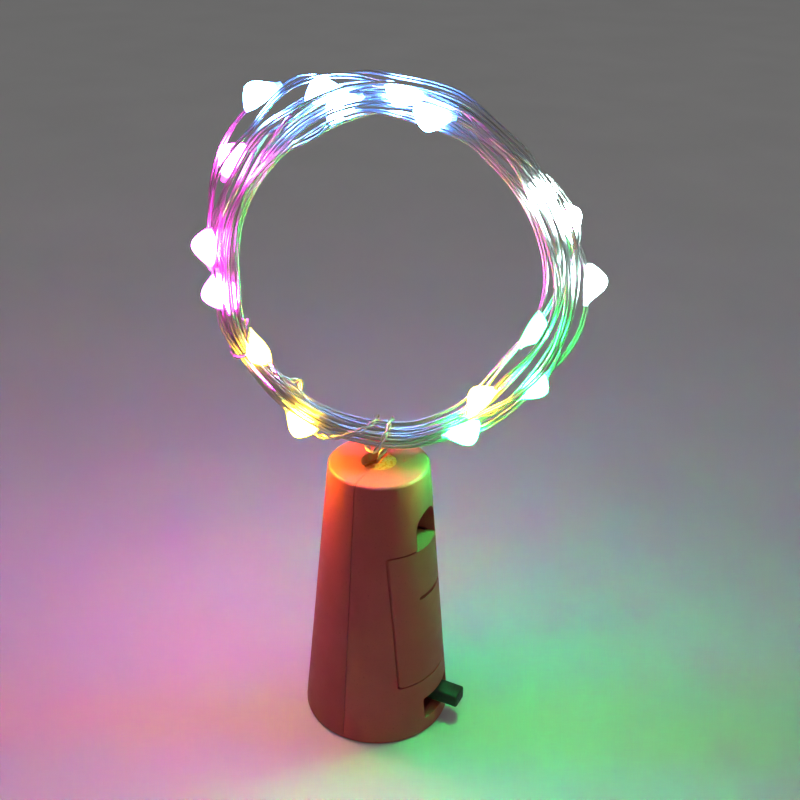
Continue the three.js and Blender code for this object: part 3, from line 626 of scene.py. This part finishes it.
def curve_through(points, spacing):
    """A smooth curve through the points, sampled at about the given spacing."""
    padded = [2 * points[0] - points[1]] + points + [2 * points[-1] - points[-2]]
    samples = []
    for four in zip(padded, padded[1:], padded[2:], padded[3:]):
        knots = [0]
        for start, stop in zip(four, four[1:]):
            knots.append(knots[-1] + math.sqrt((stop - start).length))
        count = max(2, round((four[2] - four[1]).length / spacing))
        for index in range(count):
            samples.append(centripetal(four, knots, between(knots[1], knots[2], index / count)))
    return samples


# String: two bare wires side by side, slowly turning about each other
TOUCH_GAP = 0.3 * MM
FREE_SPACING = 0.5 * MM
COIL_SUBSTEPS = 5
STRAND_RADIUS = 0.18 * MM
STRAND_SIDES = 8
STRAND_EASE = 0.2

# How far each wire lies from the middle of the string, and the length of one turn of the pair
LEAD_TWIST = (0.26 * MM, 4 * MM)
COIL_TWIST = (0.22 * MM, 90 * MM)
TAIL_TWIST = (0.36 * MM, 9 * MM)


def exit_point(rise):
    return STAND_PLACE @ Vector((0, CORD_EXIT_BACK, GLUE_TOP + rise - RING_FOOT))


def lead_route():
    start = coil_point(0)
    entry = (start - coil_point(1)).normalized()
    points = [exit_point(TOUCH_GAP), exit_point(TOUCH_GAP + CORD_DIAMETER)]
    points += [along_ring(point, LEAD_HUG) for point in LEAD_POINTS]
    points += [start + entry * (TOUCH_GAP + CORD_DIAMETER), start]
    return curve_through(points, FREE_SPACING)


def coil_route():
    return [coil_point(step / COIL_SUBSTEPS) for step in range(COIL_STEPS * COIL_SUBSTEPS)]


def tail_point(point):
    return along_ring(point, TAIL_HUG, TAIL_FORWARD)


def tail_route():
    end = coil_point(COIL_STEPS)
    leaving = (end - coil_point(COIL_STEPS - 1)).normalized()
    wrap = [along_ring(point, WRAP_HUG) for point in TAIL_WRAP[:WRAP_POINTS]]
    turn = [tail_point(point) for point in TAIL_WRAP[WRAP_POINTS:]]
    rest = [tail_point(point) for point in TAIL_END]
    points = [end, end + leaving * (TOUCH_GAP + CORD_DIAMETER)] + wrap + turn
    points += [between(turn[-1], rest[0], 0.5)] + rest
    return curve_through(points, FREE_SPACING) + [points[-1]]


def string_route():
    """The middle line of the whole string, and how its pair of wires is twisted at each point."""
    lead, coil, tail = lead_route(), coil_route(), tail_route()
    twists = [LEAD_TWIST] * len(lead) + [COIL_TWIST] * len(coil) + [TAIL_TWIST] * len(tail)
    return lead + coil + tail, twists


def strand(route, frames, twists, side):
    """Points and faces of one wire of the pair, on one side of the string's middle line."""
    angle = 0
    apart = twists[0][0]
    centres = []
    sections = []
    for index, (centre, (across, over)) in enumerate(zip(route, frames)):
        aim, turn_length = twists[index]
        apart = between(apart, aim, STRAND_EASE)
        if index:
            angle += 2 * math.pi * (centre - route[index - 1]).length / turn_length
        aside = across * math.cos(angle) + over * math.sin(angle)
        centres.append(centre + aside * side * apart)
        sections.append(ring_of_points(centres[-1], across, over, STRAND_RADIUS, STRAND_SIDES))
    return tube_mesh(centres, sections, STRAND_SIDES)


def make_string(route, twists):
    frames = carried_frames(route)
    points = []
    faces = []
    for side in (1, -1):
        more_points, more_faces = strand(route, frames, twists, side)
        first = len(points)
        points += more_points
        faces += [tuple(first + corner for corner in face) for face in more_faces]
    return mesh_piece("light_string", points, faces)


# Shape of the beads: clear resin drops on the string, each bulging to one side of it
BEAD_HALF = 3.0 * MM
BEAD_RADIUS = 1.62 * MM
BEAD_NECK = 0.35 * MM
BEAD_BULGE = 1.12 * MM
BEAD_LEAN = 0.22
BEAD_LONG_FLARE = 1.6
BEAD_SHORT_FLARE = 1.0
BEAD_GLOW_START = 0.15
BEAD_GLOW_FULL = 0.8
BEAD_RINGS = 18
BEAD_SIDES = 20
BEAD_FACING_AHEAD = 0.6
TAIL_BEAD_FACING = 0.4

# Beads that are turned end for end, that bulge inward, and that give only a share of their light
BEADS_TURNED = (3, 17)
BEADS_FACING_IN = (1, 2, 5)
BEAD_POWERS = {1: 0.45, 7: 0.5, 10: 0.3, 18: 0.15, 20: 0.2}


def ring_directions(angle):
    turn = RING_PLACE.to_3x3()
    return turn @ Vector((math.cos(angle), math.sin(angle), 0)), turn @ Vector((0, 0, 1))


def coil_bead_seat(number, chord):
    middle = chord + 0.5 + BEADS_ALONG.get(number, 0)
    radial, forward = ring_directions(COIL_START - middle * LOOP_STEP)
    along = (coil_point(chord + 1) - coil_point(chord)).normalized()
    side = -radial if number in BEADS_FACING_IN else radial
    facing = -forward if number in BEADS_AT_BACK else side + forward * BEAD_FACING_AHEAD
    return coil_point(middle), -along if number in BEADS_TURNED else along, facing


def tail_bead_seat():
    first = tail_point(TAIL_WRAP[-1])
    second = tail_point(TAIL_END[0])
    radial, forward = ring_directions(COIL_START)
    return between(first, second, 0.5), (first - second).normalized(), forward + radial * TAIL_BEAD_FACING


def bead_swell(share):
    """How far a bead has swollen from its neck: a bell nearer one end that runs out along the wire."""
    past = share + BEAD_LEAN
    reach = past / (1 + BEAD_LEAN if past > 0 else 1 - BEAD_LEAN)
    return max(math.cos(math.pi / 2 * reach), 0) ** (BEAD_LONG_FLARE if past > 0 else BEAD_SHORT_FLARE)


def make_bead(name, centre, along, outward, power):
    outward = (outward - along * outward.dot(along)).normalized()
    over = along.cross(outward)
    centres = []
    sections = []
    glow = []
    for step in range(BEAD_RINGS + 1):
        share = 2 * step / BEAD_RINGS - 1
        swell = bead_swell(share)
        centres.append(centre + along * share * BEAD_HALF + outward * BEAD_BULGE * swell)
        radius = between(BEAD_NECK, BEAD_RADIUS, swell)
        sections.append(ring_of_points(centres[-1], outward, over, radius, BEAD_SIDES))
        lit = (swell - BEAD_GLOW_START) / (BEAD_GLOW_FULL - BEAD_GLOW_START)
        glow += [power * min(max(lit, 0), 1)] * BEAD_SIDES
    bead = mesh_piece(name, *tube_mesh(centres, sections, BEAD_SIDES))
    bead.data.attributes.new("glow", "FLOAT", "POINT").data.foreach_set("value", glow)
    return bead


def make_beads():
    seats = [coil_bead_seat(number, chord) for number, chord in enumerate(bead_chords(), 1)]
    seats.append(tail_bead_seat())
    beads = []
    for number, seat in enumerate(seats, 1):
        bead = make_bead(f"bead_{number:02d}", *seat, BEAD_POWERS.get(number, 1))
        node = f"led_bead_{number:02d}"
        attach(bead, "root")
        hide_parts(node)
        wear(bead, SLOT_OF[node])
        beads.append(bead)
    return beads


ROUTE, TWISTS = string_route()
string = make_string(ROUTE, TWISTS)
beads = make_beads()
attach(string, "root")
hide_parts("string_lead", "string_coil", "string_tail")
wear(string, "string_wire")

# Stopper: levels and radii as in the frame
BASE_WALL = 1.6 * MM
RIB_THICKNESS = 1.6 * MM
TOP_WALL = 1.6 * MM
SHELL_WALL = 1.55 * MM
TAPER = 0.09
BAY_RADIUS = 7.3 * MM
DOOR_LAP = 0.7 * MM
RIM_ROUND = 0.5 * MM
SEAM_GAP = 0.09 * MM
SLIP = 0.25 * MM
TONGUE_LENGTH = 3 * MM
TONGUE_WIDTH = 8 * MM
CORD_HOLE_RADIUS = 2.7 * MM
ROUND_STEPS = 192
CORNER_STEPS = 8
ARCH_STEPS = 32

DOOR_LOW, DOOR_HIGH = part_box("battery_door")
DOOR_BOTTOM = DOOR_LOW.z
DOOR_TOP = DOOR_HIGH.z
BAY_CEILING = DOOR_TOP - DOOR_LAP
TOP_WALL_Z = BODY_TOP - TOP_WALL
WIDE = 2 * CAD_BOX[1].x


def inner_radius(z):
    return BAY_RADIUS + TAPER * (BAY_CEILING - z)


def body_radius(z):
    return inner_radius(z) + SHELL_WALL


# Battery door, its slit and the thumb notch above it
DOOR_WALL = 1.4 * MM
DOOR_TOP_WIDTH = 14 * MM
DOOR_BOTTOM_WIDTH = 15 * MM
DOOR_CORNER = 0.6 * MM
SLIT_WIDTH = 6.5 * MM
SLIT_HEIGHT = 0.6 * MM
SLIT_BELOW_TOP = 8.4 * MM
NOTCH_WIDTH = 6 * MM
NOTCH_HEIGHT = 6.1 * MM
NOTCH_DEPTH = 3.4 * MM
NOTCH_WALL = 1.2 * MM
LEDGE_THICKNESS = 1.4 * MM
NOTCH_BACK = body_radius(DOOR_TOP) - NOTCH_DEPTH
NOTCH_CROWN = DOOR_TOP + NOTCH_HEIGHT
RIB_REACH = NOTCH_BACK - NOTCH_WALL - TOUCH_GAP

# Switch slot
SLIDER_LOW, SLIDER_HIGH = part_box("switch_slider")
SWITCH_Z = (SLIDER_LOW.z + SLIDER_HIGH.z) / 2
SLOT_LENGTH = 8.2 * MM
SLOT_HEIGHT = 3.9 * MM
SLOT_CORNER = 0.4 * MM

# Lane of the inner lead and slot of the contact's tab through the ribs
LEAD_LANE_X = (-7.3 * MM, -5.8 * MM)
LEAD_LANE_WIDTH = 1.5 * MM
TAB_SLOT_X = (-1.75 * MM, 1.75 * MM)
TAB_SLOT_Y = (3.65 * MM, 4.55 * MM)


def centred(middle, size):
    return middle - size / 2, middle + size / 2


def block(x, y, z):
    points = [Vector((px, py, pz)) for pz in z for py in y for px in x]
    faces = [(0, 2, 3, 1), (4, 5, 7, 6), (0, 1, 5, 4), (2, 6, 7, 3), (0, 4, 6, 2), (1, 3, 7, 5)]
    return mesh_piece("block", points, faces)


def turned(profile):
    """A solid of revolution about Z from (radius, height) pairs that start and end on the axis."""
    steps = ROUND_STEPS
    points = [Vector((0, 0, profile[0][1])), Vector((0, 0, profile[-1][1]))]
    rings = profile[1:-1]
    for radius, height in rings:
        for angle in angles_round(steps):
            points.append(Vector((radius * math.cos(angle), radius * math.sin(angle), height)))
    faces = []
    for step in range(steps):
        after = (step + 1) % steps
        faces.append((0, 2 + after, 2 + step))
        top = 2 + (len(rings) - 1) * steps
        faces.append((1, top + step, top + after))
        for ring in range(len(rings) - 1):
            low = 2 + ring * steps
            faces.append((low + step, low + after, low + steps + after, low + steps + step))
    return mesh_piece("turned", points, faces)


def pulled_along_x(outline, x):
    """A solid from a (y, z) outline, counter-clockwise seen from +X."""
    points = [Vector((px, py, pz)) for px in x for py, pz in outline]
    count = len(outline)
    faces = [tuple(reversed(range(count))), tuple(range(count, 2 * count))]
    for index in range(count):
        after = (index + 1) % count
        faces.append((index, after, count + after, count + index))
    return mesh_piece("pulled", points, faces)


def rounded_outline(corners, radius):
    outline = []
    corners = [Vector(corner) for corner in corners]
    for index, corner in enumerate(corners):
        before = corners[index - 1]
        after = corners[(index + 1) % len(corners)]
        arrive = corner + (before - corner).normalized() * radius
        leave = corner + (after - corner).normalized() * radius
        for step in range(CORNER_STEPS + 1):
            share = step / CORNER_STEPS
            first = between(arrive, corner, share)
            outline.append(tuple(between(first, between(corner, leave, share), share)))
    return outline


def door_outline(grow):
    top = DOOR_TOP_WIDTH / 2 + grow
    bottom = DOOR_BOTTOM_WIDTH / 2 + grow
    low = DOOR_BOTTOM - grow
    high = DOOR_TOP + grow
    return rounded_outline([(-bottom, low), (bottom, low), (top, high), (-top, high)], DOOR_CORNER)


def arch_outline(width, foot, crown):
    radius = width / 2
    outline = [(-radius, foot), (radius, foot)]
    for step in range(ARCH_STEPS + 1):
        angle = math.pi * step / ARCH_STEPS
        outline.append((radius * math.cos(angle), crown - radius + radius * math.sin(angle)))
    return outline


def slot_outline(length, height, middle_z, corner):
    y0, y1 = centred(0, length)
    z0, z1 = centred(middle_z, height)
    return rounded_outline([(y0, z0), (y1, z0), (y1, z1), (y0, z1)], corner)


def boolean(piece, operation, tool):
    modifier = piece.modifiers.new("boolean", "BOOLEAN")
    modifier.operation = operation
    modifier.solver = "MANIFOLD"
    modifier.object = tool
    shaped = piece.evaluated_get(bpy.context.evaluated_depsgraph_get())
    piece.data = bpy.data.meshes.new_from_object(shaped)
    piece.modifiers.clear()
    bpy.data.objects.remove(tool)
    return piece


def cut(piece, tool):
    return boolean(piece, "DIFFERENCE", tool)


def join(piece, tool):
    return boolean(piece, "UNION", tool)


def keep(piece, tool):
    return boolean(piece, "INTERSECT", tool)


def corner_angles():
    return [math.pi / 2 * step / CORNER_STEPS for step in range(CORNER_STEPS + 1)]


def outer_body():
    profile = [(0, 0)]
    for angle in corner_angles():
        height = RIM_ROUND * (1 - math.cos(angle))
        profile.append((body_radius(height) - RIM_ROUND * (1 - math.sin(angle)), height))
    for angle in corner_angles():
        height = BODY_TOP - RIM_ROUND * (1 - math.sin(angle))
        profile.append((body_radius(height) - RIM_ROUND * (1 - math.cos(angle)), height))
    profile.append((0, BODY_TOP))
    return turned(profile)


def straight(radius, low, high):
    return turned([(0, low), (radius, low), (radius, high), (0, high)])


def shell_wall():
    cavity = turned([
        (0, BASE_WALL), (inner_radius(BASE_WALL), BASE_WALL),
        (inner_radius(TOP_WALL_Z), TOP_WALL_Z), (0, TOP_WALL_Z)])
    cord_hole = straight(CORD_HOLE_RADIUS, TOP_WALL_Z - TOP_WALL, BODY_TOP + TOP_WALL)
    return cut(cut(outer_body(), cavity), cord_hole)


def base_tongue(grow):
    return block(
        (-WIDE, TONGUE_LENGTH + grow), centred(0, TONGUE_WIDTH + 2 * grow), (-BASE_WALL, BASE_WALL + grow))


def half_space(x):
    return block(x, (-WIDE, WIDE), (-WIDE, BODY_TOP + WIDE))


def finish_piece(piece, name, node, body):
    """Names a piece, and sets it in the place of its CAD node."""
    piece.name = name
    piece.data.name = name
    shade(piece)
    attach(piece, body)
    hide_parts(node)
    piece.data.materials.clear()
    wear(piece, SLOT_OF[node])


def make_shell_front():
    housing = pulled_along_x(
        arch_outline(NOTCH_WIDTH + 2 * NOTCH_WALL, DOOR_TOP + SLIP, NOTCH_CROWN + NOTCH_WALL),
        (NOTCH_BACK - NOTCH_WALL, WIDE))
    pocket = arch_outline(NOTCH_WIDTH, DOOR_TOP - LEDGE_THICKNESS, NOTCH_CROWN)
    slot = slot_outline(SLOT_LENGTH, SLOT_HEIGHT, SWITCH_Z, SLOT_CORNER)
    shell = join(shell_wall(), keep(housing, outer_body()))
    cut(shell, pulled_along_x(pocket, (NOTCH_BACK, WIDE)))
    cut(shell, pulled_along_x(door_outline(SLIP), (SEAM_GAP, WIDE)))
    cut(shell, pulled_along_x(slot, (SLIDER_LOW.x, WIDE)))
    keep(shell, half_space((SEAM_GAP / 2, WIDE)))
    cut(shell, base_tongue(SEAM_GAP / 2))
    finish_piece(shell, "front_shell", "shell_front", "root")


def bay_rib(z):
    """A shelf across the battery bay: fast to the back half, and clear of the front half."""
    levels = (z - RIB_THICKNESS, z + 2 * RIB_THICKNESS)
    fast = straight(inner_radius(z) + SLIP, z, z + RIB_THICKNESS)
    keep(fast, block((-WIDE, -SEAM_GAP / 2), (-WIDE, WIDE), levels))
    clear = straight(inner_radius(z + RIB_THICKNESS) - TOUCH_GAP, z, z + RIB_THICKNESS)
    keep(clear, block((-RIB_REACH, RIB_REACH), (-WIDE, WIDE), levels))
    return cut(join(fast, clear), block(LEAD_LANE_X, centred(0, LEAD_LANE_WIDTH), levels))


def make_shell_back():
    shell = keep(shell_wall(), half_space((-WIDE, -SEAM_GAP / 2)))
    join(shell, keep(shell_wall(), base_tongue(0)))
    join(shell, bay_rib(DOOR_BOTTOM))
    levels = (BAY_CEILING - RIB_THICKNESS, BAY_CEILING + 2 * RIB_THICKNESS)
    join(shell, cut(bay_rib(BAY_CEILING), block(TAB_SLOT_X, TAB_SLOT_Y, levels)))
    finish_piece(shell, "back_shell", "shell_back", "root")


def make_door():
    low = DOOR_BOTTOM - DOOR_WALL
    high = DOOR_TOP + DOOR_WALL
    hollow = turned([
        (0, low), (body_radius(low) - DOOR_WALL, low), (body_radius(high) - DOOR_WALL, high), (0, high)])
    ledge = block(
        (NOTCH_BACK + SLIP, body_radius(DOOR_TOP)), centred(0, NOTCH_WIDTH - 2 * SLIP),
        (DOOR_TOP - LEDGE_THICKNESS, DOOR_TOP))
    slit = slot_outline(SLIT_WIDTH, SLIT_HEIGHT, DOOR_TOP - SLIT_BELOW_TOP, SLIT_HEIGHT / 2)
    door = join(cut(outer_body(), hollow), keep(ledge, outer_body()))
    keep(door, pulled_along_x(door_outline(0), (SEAM_GAP, WIDE)))
    cut(door, pulled_along_x(slit, (0, WIDE)))
    finish_piece(door, "door", "battery_door", "battery_door")


make_shell_front()
make_shell_back()
make_door()

# Switch knob, and the slider that carries it inside
KNOB_WIDTH = 3 * MM
KNOB_ROUND = 0.35 * MM
SLIDER_DEPTH = 1.2 * MM
SLIDER_ROUND = 0.15 * MM
ROUND_SEGMENTS = 4


def rounded_block(x, y, z, radius):
    piece = block(x, y, z)
    shaped = bmesh.new()
    shaped.from_mesh(piece.data)
    bmesh.ops.bevel(
        shaped, geom=shaped.edges[:], offset=radius, segments=ROUND_SEGMENTS, profile=0.5, affect="EDGES")
    shaped.to_mesh(piece.data)
    shaped.free()
    return piece


def make_slider():
    middle = (SLIDER_LOW.y + SLIDER_HIGH.y) / 2
    levels = (SLIDER_LOW.z, SLIDER_HIGH.z)
    knob = rounded_block((SLIDER_LOW.x, SLIDER_HIGH.x), centred(middle, KNOB_WIDTH), levels, KNOB_ROUND)
    plate = rounded_block(
        (SLIDER_LOW.x, SLIDER_LOW.x + SLIDER_DEPTH), (SLIDER_LOW.y, SLIDER_HIGH.y), levels, SLIDER_ROUND)
    finish_piece(join(knob, plate), "knob", "switch_slider", "switch_slider")


# Glue in the cord hole: nearly flush in the front half of the hole, sunk in the back half
GLUE_LOW, GLUE_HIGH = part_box("glue_plug")
GLUE_FLUSH = 0.1 * MM
GLUE_SINK = 2.1 * MM
GLUE_SLOPE = 0.2 * MM
GLUE_WAVE = 0.06 * MM
GLUE_WAVES_ACROSS = (1.9 / MM, 0.8)
GLUE_WAVES_ALONG = (1.6 / MM, 0.4)
GLUE_COLLAR = 0.5 * MM
GLUE_COLLAR_REACH = 0.9 * MM
GLUE_RINGS = 16
GLUE_SIDES = 56
GLUE_CLEARANCE = 0.05 * MM


def glue_level(x, y):
    rate_x, phase_x = GLUE_WAVES_ACROSS
    rate_y, phase_y = GLUE_WAVES_ALONG
    raised = ease(x / GLUE_SLOPE + 0.5)
    level = BODY_TOP - between(GLUE_SINK, GLUE_FLUSH, raised)
    level += GLUE_WAVE * math.sin(rate_x * x + phase_x) * math.cos(rate_y * y + phase_y)
    cord = exit_point(0)
    distance = math.hypot(x - cord.x, y - cord.y)
    return level + GLUE_COLLAR * ease(1 - distance / GLUE_COLLAR_REACH)


def make_glue():
    radius = CORD_HOLE_RADIUS - GLUE_CLEARANCE
    points = []
    for ring in range(1, GLUE_RINGS + 1):
        reach = radius * ring / GLUE_RINGS
        for angle in angles_round(GLUE_SIDES):
            x, y = reach * math.cos(angle), reach * math.sin(angle)
            points.append(Vector((x, y, glue_level(x, y))))
    for wide, level in ((radius, TOP_WALL_Z), (GLUE_HIGH.x, TOP_WALL_Z), (GLUE_HIGH.x, GLUE_LOW.z)):
        drop = GLUE_CLEARANCE if level > GLUE_LOW.z else 0
        for angle in angles_round(GLUE_SIDES):
            points.append(Vector((wide * math.cos(angle), wide * math.sin(angle), level - drop)))
    rings = len(points) // GLUE_SIDES
    faces = []
    for side in range(GLUE_SIDES):
        after = (side + 1) % GLUE_SIDES
        for ring in range(rings - 1):
            low = ring * GLUE_SIDES
            faces.append((low + side, low + GLUE_SIDES + side, low + GLUE_SIDES + after, low + after))
        faces.append((len(points), side, after))
    points.append(Vector((0, 0, glue_level(0, 0))))
    faces.append(tuple(range((rings - 1) * GLUE_SIDES, rings * GLUE_SIDES))[::-1])
    finish_piece(mesh_piece("glue", points, faces), "glue", "glue_plug", "root")


# Cells and spring inside
CELL_COUNT = 3
CELL_CAP_INSET = 1.0 * MM
CELL_CAP_HEIGHT = 0.5 * MM
CELL_EDGE = 0.4 * MM
SPRING_WIRE = 0.5 * MM
SPRING_FOOT_RADIUS = 4 * MM
SPRING_TIP_RADIUS = 2.2 * MM
SPRING_CURLS = 3.5
CURL_STEPS = 32
CURL_SIDES = 10


def make_cell(number):
    node = f"cell_{number}"
    low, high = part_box(node)
    radius = high.x
    cap = radius - CELL_CAP_INSET
    chamfer = CELL_EDGE / 2
    shoulder = low.z + CELL_CAP_HEIGHT
    profile = [(0, low.z), (cap - chamfer, low.z), (cap, low.z + chamfer), (cap, shoulder)]
    profile += [(radius - chamfer, shoulder), (radius, shoulder + chamfer)]
    for angle in corner_angles():
        profile.append((
            radius - CELL_EDGE * (1 - math.cos(angle)), high.z - CELL_EDGE * (1 - math.sin(angle))))
    profile.append((0, high.z))
    finish_piece(turned(profile), f"button_cell_{number}", node, "root")


def make_spring():
    low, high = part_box("negative_spring")
    centres = []
    steps = round(SPRING_CURLS * CURL_STEPS)
    for step in range(steps + 1):
        share = step / steps
        angle = 2 * math.pi * SPRING_CURLS * share
        radius = between(SPRING_FOOT_RADIUS, SPRING_TIP_RADIUS, share)
        height = between(low.z + SPRING_WIRE / 2, high.z - SPRING_WIRE / 2, share)
        centres.append(Vector((radius * math.cos(angle), radius * math.sin(angle), height)))
    sections = []
    for centre, (across, over) in zip(centres, carried_frames(centres)):
        sections.append(ring_of_points(centre, across, over, SPRING_WIRE / 2, CURL_SIDES))
    spring = mesh_piece("spring", *tube_mesh(centres, sections, CURL_SIDES))
    finish_piece(spring, "spring", "negative_spring", "root")


make_slider()
make_glue()
for cell_number in range(1, CELL_COUNT + 1):
    make_cell(cell_number)
make_spring()


def dress_nodes():
    for name, node in NODES.items():
        node.material_slots[0].material = MATERIALS[SLOT_OF[name]]


dress_nodes()

# Floor, lamps and world: a plain pale floor under low soft light
FLOOR_SIDE = 6.0
FLOOR_CLOUD_SIZE = 50 * MM
LAMP_AIM = Vector((0, 0, 40 * MM))
WORLD_STRENGTH = 0.245

# Lamps: place and width in metres, and power in watts
LAMPS = {
    "key": ((-0.30, -0.42, 0.55), 0.5, 0.2),
    "fill": ((0.55, -0.25, 0.40), 0.6, 0.04),
    "back": ((0.15, 0.55, 0.60), 0.5, 0.1),
}


def floor_material():
    material, shader = new_material("floor", Roughness=0.6)
    clouds = patches(material, FLOOR_CLOUD_SIZE)
    add_color(material, shader, clouds, srgb(187, 186, 185), srgb(192, 191, 190))
    return material


def make_floor():
    half = FLOOR_SIDE / 2
    points = [Vector((x, y, 0)) for x, y in ((-half, -half), (half, -half), (half, half), (-half, half))]
    floor = mesh_piece("floor", points, [(0, 1, 2, 3)])
    floor.data.materials.append(floor_material())


def add_lamp(name, place, width, power):
    data = bpy.data.lights.new(name, "AREA")
    data.shape = "DISK"
    data.size = width
    data.energy = power
    lamp = bpy.data.objects.new(name, data)
    bpy.context.collection.objects.link(lamp)
    lamp.location = place
    lamp.rotation_euler = (LAMP_AIM - Vector(place)).to_track_quat("-Z", "Y").to_euler()


def make_world():
    world = bpy.data.worlds.new("world")
    world.use_nodes = True
    background = world.node_tree.nodes["Background"]
    background.inputs["Color"].default_value = (1, 1, 1, 1)
    background.inputs["Strength"].default_value = WORLD_STRENGTH
    bpy.context.scene.world = world


make_floor()
for lamp_name, lamp in LAMPS.items():
    add_lamp(lamp_name, *lamp)
make_world()
bpy.context.scene.view_settings.view_transform = "Standard"
